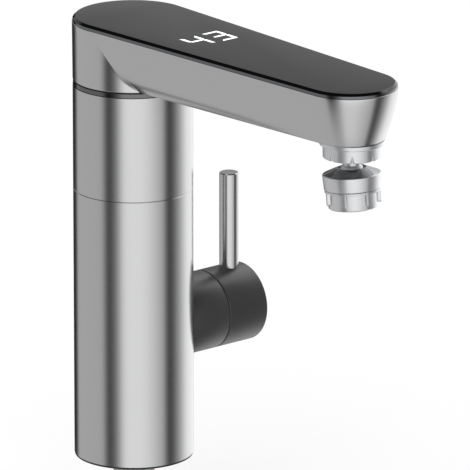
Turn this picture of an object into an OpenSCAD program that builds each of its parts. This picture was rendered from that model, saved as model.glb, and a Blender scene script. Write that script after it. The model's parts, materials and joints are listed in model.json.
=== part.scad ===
// Deck-mounted instant water heater tap: a straight column with a tank inside, a swivelling
// spout under a dark display panel, a side knob with an upright lever, and a ribbed aerator
// nozzle on a ball joint. Millimetres, +Z up. The spout points to -Y and the knob to +X.
// The origin is the centre of the column's foot, on top of the deck.

/* [Column] */
// Outer diameter of the column
column_d = 60; // [58:0.5:66]
// Height of the column up to the swivel ring
column_h = 192.3; // [186:0.1:230]
// Height of the parting line between the two shells
shell_split_z = 139; // [110:1:160]
// Wall of the two column shells
shell_wall = 1.2; // [0.8:0.1:1.6]
// Small bevel on the meeting edges of the shells
shell_bevel = 0.25; // [0.1:0.05:0.5]
// Height of the dark swivel ring between column and head
ring_h = 2.7; // [2:0.1:4]
// How far the swivel ring stands back from the column's surface
ring_inset = 0.15; // [0.05:0.05:0.5]

/* [Foot and deck fixing] */
// Thickness of the foot gasket
gasket_t = 1; // [0.5:0.1:2]
// Thickness of the moulded base plate
base_t = 8; // [6:0.5:12]
// Height of the threaded boss on the base plate
boss_h = 5; // [4:0.5:8]
// Outer radius of the half-inch pipe thread of the inlet shank
thread_r = 10.48; // [8:0.01:12]
// Radius of the water way in the shank
shank_bore_r = 7; // [5.8:0.1:7.6]
// Length of the shank below the deck's top face
shank_len = 60; // [52:1:90]
// Room for the deck between foot and fixing washer
deck_t = 20; // [5:1:24]
// Radius of the horseshoe gasket and washer
horseshoe_r = 22; // [20:0.5:28]
// Thickness of the horseshoe gasket
horseshoe_gasket_t = 3; // [2:0.5:5]
// Thickness of the horseshoe washer
horseshoe_washer_t = 1.5; // [1:0.1:3]
// Width of the backnut across its flats
nut_af = 27; // [25:0.5:27]
// Height of the backnut
nut_h = 9; // [6:0.5:12]
// Distance of the mains cable's hole from the column's axis
cord_y = 17.5; // [17.5:0.1:18.5]
// Radius of the hole that holds the mains cable
cord_r = 3.3; // [2.8:0.1:3.5]
// Wall of the cable bush
bush_wall = 1.3; // [0.8:0.1:1.4]

/* [Knob and lever] */
// Height of the knob's axis above the deck
knob_z = 65.6; // [58:0.2:76]
// Diameter of the knob and its collar
knob_d = 40; // [37:0.5:46]
// Distance from the column's axis to the joint between collar and knob
collar_end_x = 46.4; // [44:0.1:56]
// Length of the turning knob
knob_len = 24.75; // [23:0.05:34]
// Gap between collar and knob
knob_gap = 0.5; // [0.3:0.1:1]
// Wall of the knob and the collar
knob_wall = 3; // [2:0.1:3.2]
// Diameter of the lever rod
lever_d = 9.8; // [7:0.1:11]
// Distance of the lever's axis from the knob's outer face
lever_back = 8.75; // [8:0.05:10]
// Height of the lever's top above the knob's axis
lever_h = 68.9; // [45:0.1:95]
// Radius of the valve's stem
stem_r = 4; // [3:0.1:4.5]

/* [Water heater] */
// Outer radius of the heater tank
tank_r = 17.5; // [15.5:0.1:17.9]
// Wall of the heater tank
tank_wall = 1.5; // [1:0.1:2]
// Radius of a heating rod
rod_r = 3; // [2:0.1:3.2]
// Distance of the heating rods from the tank's axis
rod_ring_r = 9.2; // [9:0.1:9.6]
// Width of the control board
board_w = 22; // [16:0.5:24]
// Thickness of the control board
board_t = 1.6; // [1:0.1:2]

/* [Spout] */
// Distance from the column's axis to the centre of the arm's rounded end
reach = 162.87; // [120:0.01:220]
// Height of the arm's metal side
arm_h = 25.8; // [24:0.1:34]
// Height of the arm's underside at the tip above the head's lower edge
arm_lift = 3.7; // [3.2:0.1:6]
// Radius of the arm's end at its upper edge
tip_top_r = 23.5; // [21:0.05:26]
// Radius of the arm's end at its underside
tip_low_r = 17; // [16.3:0.1:19]
// Half width of the arm's sides at the column's axis, at the height of the outlet's seat
head_low_r = 22.4; // [21.6:0.1:26]
// How much the round belly narrows the arm at the head's lower edge
belly_cut = 4.4; // [3:0.1:6]
// Height over which the belly rounds into the arm's sides at the head
belly_h = 7.5; // [5:0.1:10]
// Outward flare of the head from its lower to its upper edge
head_flare = 0.2; // [0.1:0.05:0.6]
// How fully the arm's sides bulge below the upper edge at the head
head_bulge = 1.75; // [1.1:0.05:2.2]
// How fully the arm's end bulges below the upper edge
tip_bulge = 1.5; // [1.1:0.05:2.2]
// Wall of the cast spout
spout_wall = 2; // [1.6:0.1:2.4]
// Height of the trim frame under the glass
bezel_h = 1.3; // [0.8:0.1:2.5]
// Width and height of the glass panel's bevelled edge
glass_edge = 1.3; // [0.8:0.1:2]
// How far the outlet lies beyond the centre of the arm's rounded end
outlet_shift = 1.7; // [0:0.1:2]
// Total swing of the spout in degrees
swing_deg = 220; // [90:5:260]

/* [Display] */
// Distance from the column's axis to the middle of the figures
figures_y = 58.3; // [50:0.1:90]
// Height of a figure
figure_h = 16.2; // [10:0.1:18]
// Width of a figure
figure_w = 9.4; // [6:0.1:10]
// Distance between two figures
figure_pitch = 14.4; // [12:0.1:16]
// Width of a figure's stroke
stroke_w = 1.7; // [1:0.1:2.2]

/* [Aerator] */
// Radius of the trim ring under the outlet
flange_r = 15.9; // [14.8:0.1:16.2]
// Height of the trim ring
flange_h = 2.2; // [1.5:0.1:3]
// Radius of the fixed aerator collar
collar_r = 14.2; // [12.8:0.1:14.4]
// Height of the fixed aerator collar
collar_h = 6.5; // [5.5:0.1:8]
// Number of notches round the collar's lower edge
notch_count = 8; // [4:1:12]
// Radius of the ball
ball_r = 6.8; // [6.7:0.05:7]
// Distance of the ball's centre below the collar
ball_drop = 9.3; // [8.6:0.1:11]
// Radius of the neck above the ball
neck_r = 4.2; // [3.8:0.1:4.3]
// Largest radius of the swivelling nozzle
nozzle_r = 14.4; // [13.6:0.1:14.8]
// Length of the nozzle below the ball's centre
nozzle_len = 16; // [15.5:0.1:20]
// Radius of the ribbed sleeve between its ribs
sleeve_r = 12.2; // [11.5:0.1:12.5]
// Radius over the ribs of the sleeve
rib_r = 13.7; // [12.8:0.1:13.8]
// Number of ribs round the sleeve
rib_count = 7; // [5:1:12]
// Lean of the nozzle towards the front, in degrees
nozzle_lean = 5.3; // [0:0.1:10]

/* [Hidden] */
$fn = 96;

// Fits: running shafts, seated pieces of one body, pieces of two bodies, cuts that run over
running_fit = 0.05;
seat_fit = 0.1;
body_gap = 0.3;
overrun = 1;
// Thickness of the slices that a lofted form is drawn from, and the facets of such a form
slice = 0.01;
loft_facets = 64;
loft_layers = 12;
// Crowds the layers of a lofted form towards its rounded lower edge
layer_crowding = 1.5;

steel = "#b9babc";
dark_steel = "#5d6064";
black = "#2b2c2e";
rubber = "#1d1d1f";
plastic = "#3c3f45";
white_plastic = "#dcdcd8";
brass = "#c9a55c";
chrome = "#d3d5d8";
copper = "#b87348";
board_green = "#2f6b45";

// Column and foot
column_r = column_d / 2;
shell_in_r = column_r - shell_wall;
inner_r = shell_in_r - seat_fit;
base_top = gasket_t + base_t;
boss_top = base_top + boss_h;
gasket_inset = 0.3;
gasket_in_r = cord_y + cord_r + body_gap;
boss_wall = 2;
boss_r = thread_r + seat_fit + boss_wall;
shank_chamfer = 1;
shank_groove_w = 2.5;
shank_groove_d = 0.8;
horseshoe_ease = 0.5;
horseshoe_slot_r = thread_r + horseshoe_ease;
nut_face_h = 1.5;
nut_face_r = nut_af / 2 - seat_fit;
nut_top = -deck_t - horseshoe_gasket_t - horseshoe_washer_t;
nut_low = nut_top - nut_h;
free_thread = 14;
bush_r = cord_r + bush_wall;
bush_flange_w = 1.2;
bush_flange_h = 1.5;
filter_rim_w = 0.8;
filter_rim_h = 3;
filter_set = 2;
filter_sheet = 0.6;
filter_hole_r = 0.5;
filter_pitch = 1.8;
filter_rings = 3;

// Frame inside the column, with four posts and screws at each end
post_r = 2.5;
post_inset = 4.05;
post_ring_r = shell_in_r - post_inset;
post_turn = 45;
frame_ring_h = 3;
frame_ring_w = 7.5;
shelf_t = 4;
shelf_gap = 7.6;
screw_r = 1.4;
screw_head_r = 2.6;
screw_head_h = 1.7;
screw_sunk = 0.3;
base_head_h = 2.7;
base_screw_grip = 13;
joint_ring_h = 12;
joint_ring_t = 1.2;

// Valve, cartridge and knob, all on the knob's axis
knob_r = knob_d / 2;
barrel_r = 14.8;
barrel_back = 15;
barrel_setback = 1.3;
barrel_end_x = shell_in_r - barrel_setback;
valve_spigot_r = shank_bore_r - seat_fit;
valve_spigot_h = 9;
valve_foot_r = 12;
valve_foot_h = 3;
riser_r = 9;
waterway_r = 4;
tank_spigot_r = 7.5;
tank_spigot_in = 1.5;
inlet_groove_w = 2;
inlet_groove_d = 1.2;
inlet_groove_up = 2;
oring_section_share = 0.49;
cartridge_r = 12.5;
cartridge_in_x = 6;
cartridge_out = 2.5;
cartridge_x = barrel_end_x + cartridge_out;
cartridge_neck_r = 7;
cartridge_neck_len = 8;
disc_r = 8;
disc_t = 4;
disc_wall = 1.7;
nut_cap_r = 16.5;
nut_cap_t = 3;
nut_face_x = cartridge_x + nut_cap_t;
shell_hole_ease = 0.7;
shell_hole_r = nut_cap_r + shell_hole_ease;
collar_web_t = 2;
knob_in_r = knob_r - knob_wall;
knob_x = collar_end_x + knob_gap;
knob_end_x = knob_x + knob_len;
knob_edge = 0.8;
knob_hollow = 5.1;
knob_hub_r = 8;
knob_hub_reach = 5.9;
lever_x = knob_end_x - lever_back;
lever_edge = 0.4;
lever_seat = 8;
stem_end_x = lever_x;
knob_screw_r = 2;
knob_screw_len = 9;
knob_screw_back = 4;
hex_key_r = 1.15;
hex_key_d = 2;
flow_switch_w = 13;
flow_switch_d = 10;
flow_switch_h = 20;
flow_switch_y = 11;
flow_switch_z = 32;
spade_w = 4.8;
spade_t = 0.8;
spade_h = 6;
spade_pitch = 3;

// Heater tank, between the shelf and the swivel hub
shelf_z = knob_z + barrel_r + shelf_gap;
tank_z = shelf_z + shelf_t;
hub_skirt_h = 1.3;
hub_flange_t = 3;
hub_flange_top = column_h - hub_skirt_h;
hub_flange_z = hub_flange_top - hub_flange_t;
frame_top_h = 4;
tank_drop = 20;
tank_top = hub_flange_z - tank_drop;
tank_floor = 2;
tank_flange_w = 3;
tank_flange_h = 3;
tank_flange_r = tank_r + tank_flange_w;
tank_seal_t = 1;
lid_t = 5;
lid_z = tank_top + tank_seal_t;
lid_top = lid_z + lid_t;
lid_spigot_r = 5.8;
lid_spigot_gap = 2;
lid_bore_r = 3.5;
lid_screw_count = 6;
lid_screw_r = 1.2;
lid_head_r = 2;
lid_head_h = 2;
lid_screw_ring_r = tank_r + lid_screw_r + seat_fit;
rod_floor_gap = 3.5;
rod_pair_step = 8.5;
rod_stub = 6;
cutout_r = 3.4;
cutout_h = 5;
cutout_turn = 45;
cutout_ring_r = tank_r - cutout_r - body_gap;
board_gap = 0.3;
board_reach = inner_r - joint_ring_t - board_gap;
board_y = sqrt(pow(board_reach, 2) - pow(board_w / 2, 2)) - board_t;
board_room = board_y - tank_r;
board_top_gap = 10;
board_h = hub_flange_z - board_top_gap - tank_z;
connector_h = 8;
connector_share = 0.6;
connector_d = board_room * connector_share;
connector_z = tank_z + board_h - connector_h - tank_drop;
switch_w = 10;
switch_share = 0.45;
switch_d = board_room * switch_share;
switch_h = 15;
switch_tab_t = 0.8;
switch_tab_h = 7;
switch_z = connector_z - board_gap - switch_tab_h - switch_h;

// Swivel between column and spout
head_z = column_h + ring_h + body_gap;
hub_r = 14;
hub_boss_r = 9;
hub_boss_h = 6;
hub_bore_r = 5;
sleeve_bore_r = hub_r + running_fit;
swivel_sleeve_h = 19.6;
sleeve_top = head_z + swivel_sleeve_h;
sleeve_out_r = 17;
sleeve_flange_r = 21;
sleeve_flange_h = 3;
clip_t = 1.2;
clip_groove_d = 1.2;
clip_w = 3.7;
clip_gap_deg = 60;
hub_tip = 1.8;
port_r = 3;
port_groove_h = 6.4;
port_groove_d = 1;
seal_groove_w = 2.1;
seal_groove_d = 1.9;
seal_offset = 5.4;
seal_section_r = 0.93;
wire_hole_r = 2.3;
wire_hole_y = 9;
ring_bore_r = hub_r + 2 * seat_fit;
ring_skirt_w = 4.5;
ring_line_h = 0.35;
ring_line_d = 0.3;
stop_pin_r = 1.5;
stop_ring_r = 23;
stop_depth = 1.5;
stop_groove_r = stop_pin_r + body_gap;

// Spout casting: half widths follow one bulging curve from underside to upper edge
head_floor = 3;
arm_low = head_z + arm_lift;
arm_top = arm_low + arm_h;
arm_floor = 2.5;
glass_z = arm_top + bezel_h;
glass_top = glass_z + glass_edge;
trim_back = 0.3;
trim_head_r = column_r + head_flare - trim_back;
trim_tip_r = tip_top_r - trim_back;
bezel_w = 3;
bezel_lip_h = 2;
bezel_lip_ease = 0.4;
glass_plug_h = 1.1;
figure_depth = 0.2;
segment_gap = 0.25;
upright = 90;
module_w = 32;
module_d = 22;
module_h = 4;
module_board_w = 37;
module_board_d = 26;
module_board_t = 1.6;
hose_r = 5.2;
tube_z = arm_low + arm_floor + hose_r + seat_fit;
hose_in_r = 4;
hose_push = 1.5;
stub_len = 7;
stub_bore_r = 2.5;
sleeve_screw_ring_r = 19;
sleeve_head_r = 1.9;
blind_floor = 1;

// Outlet and aerator, hung under the arm's end
outlet_y = reach + outlet_shift;
outlet_hole_r = 9;
fitting_r = 11;
fitting_h = 11.5;
fitting_bore_r = 8;
fitting_roof = 3;
collar_neck_h = 6.2;
probe_r = 2.5;
probe_tip_r = 1.5;
probe_up = 4;
probe_down = 3;
flange_z = arm_low - flange_h;
flange_edge = 0.4;
collar_z = flange_z - collar_h;
collar_edge = 0.5;
collar_floor = 1.7;
throat_ease = 0.6;
collar_throat_r = neck_r + throat_ease;
socket_step = 0.9;
collar_socket_r = fitting_bore_r + socket_step;
collar_neck_r = fitting_bore_r - seat_fit;
collar_neck_bore_r = 5.6;
collar_roof = 0.8;
notch_h = 4.1;
notch_r = 1.25;
notch_turn = 4.4;
stem_flange_h = 2.5;
stem_bore_r = 2.4;
washer_lip = 1;
washer_h = collar_h - collar_floor - stem_flange_h - collar_roof;
ball_z = collar_z - ball_drop;
liner_r = 8.3;
liner_up = -0.5;
socket_up = 2;
liner_down = 4.4;
cap_mouth_r = 6;
cap_mouth_up = 3.9;
cap_rim_up = 0.9;
cap_rim_edge = 0.35;
cap_land_w = 1.35;
cap_low = 6.4;
cap_taper = 0.5;
cap_low_r = nozzle_r - cap_taper;
cap_wall = 1.9;
cap_bore_r = nozzle_r - cap_wall;
core_r = cap_bore_r - seat_fit;
core_top_down = 1.5;
core_h = 9.5;
core_bore_r = 3;
core_skirt_r = 9.2;
core_groove_w = 1.8;
core_groove_d = 1.1;
cap_line = 0.2;
sleeve_top_down = cap_low + cap_line;
rib_crown_h = 1.3;
rib_w = 2.3;
rib_stop = 2.2;
rib_turn = 5.1;
rib_root = 0.5;
sleeve_wall = 1.7;
insert_r = sleeve_r - sleeve_wall - seat_fit;
insert_h = 3.4;
insert_set = 0.8;
insert_hole_r = 0.75;
insert_pitch = 2.1;
insert_rings = 4;

// Cylinder along the knob's axis, from one distance from the column's axis to another
module knob_round(x0, x1, r) {
    translate([x0, 0, knob_z])
        rotate([0, 90, 0])
            cylinder(h = x1 - x0, r = r);
}

// Disc with a rounded upper edge
module soft_disc(r, h, edge) {
    rotate_extrude() {
        square([r - edge, h]);
        square([r, h - edge]);
        translate([r - edge, h - edge])
            circle(edge);
    }
}

// Flat ring
module ring(r_out, r_in, h) {
    difference() {
        cylinder(h = h, r = r_out);
        translate([0, 0, -overrun])
            cylinder(h = h + 2 * overrun, r = r_in);
    }
}

// Rubber ring of round section
module round_seal(r, section) {
    rotate_extrude()
        translate([r, 0])
            circle(section);
}

// Children at the four posts of the frame
module at_posts() {
    for (k = [0:3])
        rotate(post_turn + k * 90)
            translate([post_ring_r, 0, 0])
                children();
}

// Screw that points down, with the underside of its head at z = 0
module screw(length, r, head_r, head_h) {
    translate([0, 0, -length])
        cylinder(h = length, r = r);
    difference() {
        cylinder(h = head_h, r = head_r);
        translate([0, 0, head_h / 2])
            cylinder(h = head_h, r = head_r / 2, $fn = 6);
    }
}

// Outline of the spout seen from above: two circles and their common tangents
module spout_outline(head, tip) {
    lean = asin((head - tip) / reach);
    circle(head);
    translate([0, -reach])
        circle(tip);
    polygon([
        [head * cos(lean), -head * sin(lean)],
        [tip * cos(lean), -reach - tip * sin(lean)],
        [-tip * cos(lean), -reach - tip * sin(lean)],
        [-head * cos(lean), -head * sin(lean)]
    ]);
}

// Share of the full width that the arm has at a share of its height
function bulge(up_share, fullness) = 1 - pow(1 - up_share, fullness);

// Half width of the arm at the column's axis, at a height above the head's lower edge
function head_end_r(rise) =
    head_low_r + (column_r - head_low_r) * bulge((rise - arm_lift) / arm_h, head_bulge)
    - belly_cut * pow(max(0, 1 - rise / belly_h), 2);

// Radius of the arm's end, at a height above its underside
function tip_end_r(rise) = tip_low_r + (tip_top_r - tip_low_r) * bulge(rise / arm_h, tip_bulge);

// The arm's body, drawn in on all sides by inset, from a height above the underside of each end
module arm_form(inset, head_from, tip_from) {
    hull()
        for (k = [0:loft_layers]) {
            share = pow(k / loft_layers, layer_crowding);
            head_rise = head_from + (arm_lift + arm_h - head_from - slice) * share;
            tip_rise = tip_from + (arm_h - tip_from - slice) * share;
            translate([0, 0, head_z + head_rise])
                cylinder(h = slice, r = head_end_r(head_rise) - inset, $fn = loft_facets);
            translate([0, -reach, arm_low + tip_rise])
                cylinder(h = slice, r = tip_end_r(tip_rise) - inset, $fn = loft_facets);
        }
}

// Everything that swings on the ball: its origin is the ball's centre
module on_ball() {
    translate([0, -outlet_y, ball_z])
        rotate([-nozzle_lean, 0, 0])
            children();
}

// Hole places in rings round a centre
module in_rings(rings, pitch) {
    for (j = [0:rings])
        for (k = [0:max(0, 6 * j - 1)])
            rotate(j == 0 ? 0 : k * 60 / j)
                translate([j * pitch, 0, 0])
                    children();
}

// U-shaped plate that slips round the shank and leaves the cable free behind it
module horseshoe(h) {
    difference() {
        cylinder(h = h, r = horseshoe_r);
        translate([0, 0, -overrun])
            cylinder(h = h + 2 * overrun, r = horseshoe_slot_r);
        translate([-horseshoe_slot_r, 0, -overrun])
            cube([2 * horseshoe_slot_r, horseshoe_r + overrun, h + 2 * overrun]);
    }
}

module base_gasket() {
    color(rubber)
        ring(column_r - gasket_inset, gasket_in_r, gasket_t);
}

module base_plate() {
    color(plastic)
        difference() {
            union() {
                translate([0, 0, gasket_t])
                    cylinder(h = base_t, r = inner_r);
                translate([0, 0, gasket_t])
                    cylinder(h = boss_top - gasket_t, r = boss_r);
            }
            cylinder(h = boss_top + overrun, r = thread_r + running_fit);
            translate([0, cord_y, 0])
                cylinder(h = base_top + overrun, r = bush_r + running_fit);
            translate([0, cord_y, base_top])
                cylinder(h = boss_h + overrun, r = bush_r + bush_flange_w + seat_fit);
            at_posts() {
                cylinder(h = base_top + overrun, r = screw_r + seat_fit);
                cylinder(h = gasket_t + screw_sunk + base_head_h, r = screw_head_r + seat_fit);
            }
        }
}

module inlet_shank() {
    groove_z = -shank_len + free_thread;
    color(white_plastic)
        difference() {
            union() {
                translate([0, 0, -shank_len + shank_chamfer])
                    cylinder(h = shank_len + boss_top - shank_chamfer, r = thread_r);
                translate([0, 0, -shank_len])
                    cylinder(h = shank_chamfer, r1 = thread_r - shank_chamfer, r2 = thread_r);
            }
            translate([0, 0, -shank_len - overrun])
                cylinder(h = shank_len + boss_top + 2 * overrun, r = shank_bore_r);
            translate([0, 0, groove_z])
                ring(thread_r + overrun, thread_r - shank_groove_d, shank_groove_w);
        }
}

module inlet_filter() {
    color(chrome)
        translate([0, 0, -shank_len + filter_set])
            difference() {
                cylinder(h = filter_rim_h, r = shank_bore_r);
                translate([0, 0, filter_sheet])
                    cylinder(h = filter_rim_h, r = shank_bore_r - filter_rim_w);
                translate([0, 0, -overrun])
                    in_rings(filter_rings, filter_pitch)
                        cylinder(h = filter_sheet + 2 * overrun, r = filter_hole_r);
            }
}

module inlet_seal() {
    color(rubber)
        translate([0, 0, boss_top - valve_spigot_h + inlet_groove_up + inlet_groove_w / 2])
            round_seal(valve_spigot_r - inlet_groove_d / 2, inlet_groove_d * oring_section_share);
}

module horseshoe_gasket() {
    color(rubber)
        translate([0, 0, -deck_t - horseshoe_gasket_t])
            horseshoe(horseshoe_gasket_t);
}

module horseshoe_washer() {
    color(steel)
        translate([0, 0, nut_top])
            horseshoe(horseshoe_washer_t);
}

module shank_nut() {
    color(brass)
        translate([0, 0, nut_low])
            difference() {
                union() {
                    cylinder(h = nut_h - nut_face_h, r = nut_af / 2 / cos(30), $fn = 6);
                    cylinder(h = nut_h, r = nut_face_r);
                }
                translate([0, 0, -overrun])
                    cylinder(h = nut_h + 2 * overrun, r = thread_r + running_fit);
            }
}

module cable_bush() {
    color(rubber)
        translate([0, cord_y, gasket_t])
            difference() {
                union() {
                    cylinder(h = base_t, r = bush_r);
                    translate([0, 0, base_t])
                        cylinder(h = bush_flange_h, r = bush_r + bush_flange_w);
                }
                translate([0, 0, -overrun])
                    cylinder(h = base_t + bush_flange_h + 2 * overrun, r = cord_r);
                // The flange is flat where it passes the shank
                translate([-bush_r - overrun, thread_r + running_fit - cord_y - bush_flange_w, base_t])
                    cube([2 * (bush_r + overrun), bush_flange_w, bush_flange_h + overrun]);
            }
}

module base_screws() {
    color(steel)
        translate([0, 0, gasket_t + screw_sunk + base_head_h])
            at_posts()
                rotate([180, 0, 0])
                    screw(base_screw_grip, screw_r, screw_head_r, base_head_h);
}

module lower_shell() {
    color(steel)
        difference() {
            rotate_extrude()
                polygon([
                    [shell_in_r, gasket_t], [column_r, gasket_t],
                    [column_r, shell_split_z - shell_bevel],
                    [column_r - shell_bevel, shell_split_z], [shell_in_r, shell_split_z]
                ]);
            knob_round(0, column_r + overrun, shell_hole_r);
        }
}

module upper_shell() {
    color(steel)
        rotate_extrude()
            polygon([
                [shell_in_r, shell_split_z], [column_r - shell_bevel, shell_split_z],
                [column_r, shell_split_z + shell_bevel], [column_r, column_h],
                [shell_in_r, column_h]
            ]);
}

module joint_ring() {
    color(plastic)
        translate([0, 0, shell_split_z - joint_ring_h / 2])
            ring(inner_r, inner_r - joint_ring_t, joint_ring_h);
}

module chassis() {
    color(plastic)
        difference() {
            union() {
                translate([0, 0, base_top])
                    ring(inner_r, inner_r - frame_ring_w, frame_ring_h);
                translate([0, 0, shelf_z])
                    ring(inner_r - joint_ring_t - seat_fit, tank_spigot_r + body_gap, shelf_t);
                translate([0, 0, hub_flange_z - frame_top_h])
                    ring(inner_r, inner_r - frame_ring_w, frame_top_h);
                at_posts()
                    translate([0, 0, base_top])
                        cylinder(h = hub_flange_z - base_top, r = post_r);
            }
            translate([0, cord_y, 0])
                cylinder(h = base_top + frame_ring_h + overrun, r = bush_r + bush_flange_w + seat_fit);
            at_posts() {
                cylinder(h = gasket_t + screw_sunk + base_head_h + base_screw_grip, r = screw_r);
                translate([0, 0, hub_flange_top - screw_sunk - screw_head_h - base_screw_grip])
                    cylinder(h = base_screw_grip + overrun, r = screw_r);
            }
        }
}

module valve_body() {
    color(brass)
        difference() {
            union() {
                translate([0, 0, boss_top - valve_spigot_h])
                    cylinder(h = valve_spigot_h, r = valve_spigot_r);
                translate([0, 0, boss_top])
                    cylinder(h = valve_foot_h, r = valve_foot_r);
                translate([0, 0, boss_top])
                    cylinder(h = knob_z - boss_top, r = riser_r);
                translate([0, 0, knob_z])
                    cylinder(h = tank_z + tank_spigot_in - knob_z, r = tank_spigot_r);
                knob_round(-barrel_back, barrel_end_x, barrel_r);
                translate([-flow_switch_w / 2, -flow_switch_y, flow_switch_z])
                    cube([flow_switch_w, flow_switch_y, flow_switch_h]);
            }
            knob_round(cartridge_in_x - seat_fit, barrel_end_x + overrun, cartridge_r + running_fit);
            translate([0, 0, boss_top - valve_spigot_h - overrun])
                cylinder(h = knob_z - boss_top + valve_spigot_h, r = waterway_r);
            translate([0, 0, knob_z])
                cylinder(h = tank_z + tank_spigot_in - knob_z + overrun, r = waterway_r);
            translate([0, 0, boss_top - valve_spigot_h + inlet_groove_up])
                ring(valve_spigot_r + overrun, valve_spigot_r - inlet_groove_d, inlet_groove_w);
        }
}

module valve_cartridge() {
    color(white_plastic)
        difference() {
            union() {
                knob_round(cartridge_in_x, cartridge_x, cartridge_r);
                knob_round(cartridge_x, cartridge_x + cartridge_neck_len, cartridge_neck_r);
            }
            knob_round(cartridge_in_x + disc_wall, cartridge_x + cartridge_neck_len + overrun,
                stem_r + running_fit);
            knob_round(cartridge_in_x + disc_wall, cartridge_in_x + disc_wall + disc_t + 2 * body_gap,
                disc_r + body_gap);
        }
}

module cartridge_nut() {
    color(brass)
        difference() {
            knob_round(barrel_end_x, nut_face_x, nut_cap_r);
            knob_round(barrel_end_x - overrun, cartridge_x, cartridge_r + running_fit);
            knob_round(cartridge_x - overrun, nut_face_x + overrun, cartridge_neck_r + seat_fit);
        }
}

module flow_switch() {
    color(black)
        translate([-flow_switch_w / 2, -flow_switch_y - flow_switch_d, flow_switch_z]) {
            cube([flow_switch_w, flow_switch_d, flow_switch_h]);
            for (side = [-1, 1])
                translate([flow_switch_w / 2 + side * spade_pitch - spade_w / 2,
                        flow_switch_d / 2, -spade_h])
                    cube([spade_w, spade_t, spade_h]);
        }
}

module knob_collar() {
    color(black)
        difference() {
            knob_round(0, collar_end_x, knob_r);
            knob_round(-overrun, nut_face_x, knob_in_r);
            knob_round(nut_face_x - overrun, nut_face_x + collar_web_t + overrun,
                cartridge_neck_r + seat_fit);
            knob_round(nut_face_x + collar_web_t, collar_end_x + overrun, knob_in_r);
            cylinder(h = 2 * knob_z + knob_r, r = column_r + running_fit);
        }
}

module knob_cap() {
    color(black)
        difference() {
            translate([knob_x, 0, knob_z])
                rotate([0, 90, 0])
                    soft_disc(knob_r, knob_len, knob_edge);
            knob_round(knob_x - overrun, knob_x + knob_hollow, knob_in_r);
            knob_round(knob_x, stem_end_x, stem_r + running_fit);
            translate([lever_x, 0, knob_z + lever_seat])
                cylinder(h = knob_r, r = lever_d / 2 + running_fit);
            translate([knob_x + knob_hollow + knob_screw_back, 0, knob_z - knob_r - overrun])
                cylinder(h = knob_r + overrun - stem_r + overrun, r = knob_screw_r);
        }
    color(black)
        difference() {
            knob_round(knob_x - knob_hub_reach, knob_x + knob_hollow, knob_hub_r);
            knob_round(knob_x - knob_hub_reach - overrun, knob_x + knob_hollow + overrun,
                stem_r + running_fit);
        }
}

module valve_stem() {
    color(brass) {
        knob_round(cartridge_in_x + disc_wall + body_gap,
            cartridge_in_x + disc_wall + body_gap + disc_t, disc_r);
        knob_round(cartridge_in_x + disc_wall + body_gap, stem_end_x, stem_r);
    }
}

module lever_rod() {
    color(steel)
        translate([lever_x, 0, knob_z + lever_seat])
            soft_disc(lever_d / 2, lever_h - lever_seat, lever_edge);
}

module knob_screw() {
    color(dark_steel)
        translate([knob_x + knob_hollow + knob_screw_back, 0, knob_z - stem_r - knob_screw_len])
            difference() {
                cylinder(h = knob_screw_len, r = knob_screw_r);
                translate([0, 0, -overrun])
                    cylinder(h = hex_key_d + overrun, r = hex_key_r, $fn = 6);
            }
}

module heater_tank() {
    color(steel)
        difference() {
            union() {
                translate([0, 0, tank_z])
                    cylinder(h = tank_top - tank_z, r = tank_r);
                translate([0, 0, tank_top - tank_flange_h])
                    cylinder(h = tank_flange_h, r = tank_flange_r);
            }
            translate([0, 0, tank_z + tank_floor])
                cylinder(h = tank_top - tank_z, r = tank_r - tank_wall);
            translate([0, 0, tank_z - overrun])
                cylinder(h = tank_floor + 2 * overrun, r = tank_spigot_r + running_fit);
            at_lid_screws()
                translate([0, 0, tank_top - tank_flange_h - overrun])
                    cylinder(h = tank_flange_h + 2 * overrun, r = lid_screw_r);
            flange_clearance();
        }
}

// Children at the lid's screws
module at_lid_screws() {
    for (k = [0:lid_screw_count - 1])
        rotate(k * 360 / lid_screw_count)
            translate([lid_screw_ring_r, 0, 0])
                children();
}

// Children at the four legs of the two heating rods
module at_rod_legs() {
    for (k = [0:3])
        rotate(k * 90)
            translate([rod_ring_r, 0, 0])
                children();
}

// Room for the frame's posts and the control board, which a wide tank flange has to leave free
module flange_clearance() {
    translate([0, 0, tank_top - tank_flange_h - overrun]) {
        at_posts()
            cylinder(h = lid_top - tank_top + tank_flange_h + 2 * overrun, r = post_r + body_gap);
        translate([-column_r, board_y - body_gap, 0])
            cube([column_d, column_r, lid_top - tank_top + tank_flange_h + 2 * overrun]);
    }
}

module tank_seal() {
    color(rubber)
        difference() {
            translate([0, 0, tank_top])
                ring(tank_flange_r, tank_r - tank_wall, tank_seal_t);
            at_lid_screws()
                translate([0, 0, tank_top - overrun])
                    cylinder(h = tank_seal_t + 2 * overrun, r = lid_screw_r);
            flange_clearance();
        }
}

module tank_lid() {
    color(steel)
        difference() {
            union() {
                translate([0, 0, lid_z])
                    cylinder(h = lid_t, r = tank_flange_r);
                translate([0, 0, lid_z])
                    cylinder(h = hub_flange_z - lid_spigot_gap - lid_z, r = lid_spigot_r);
            }
            translate([0, 0, lid_z - overrun])
                cylinder(h = hub_flange_z - lid_z, r = lid_bore_r);
            at_rod_legs()
                translate([0, 0, lid_z - overrun])
                    cylinder(h = lid_t + 2 * overrun, r = rod_r + running_fit);
            at_lid_screws()
                translate([0, 0, lid_z - overrun])
                    cylinder(h = lid_t + 2 * overrun, r = lid_screw_r);
            flange_clearance();
        }
}

module lid_screws() {
    color(dark_steel)
        translate([0, 0, lid_top])
            at_lid_screws()
                screw(lid_t + tank_seal_t + tank_flange_h, lid_screw_r, lid_head_r, lid_head_h);
}

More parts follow.
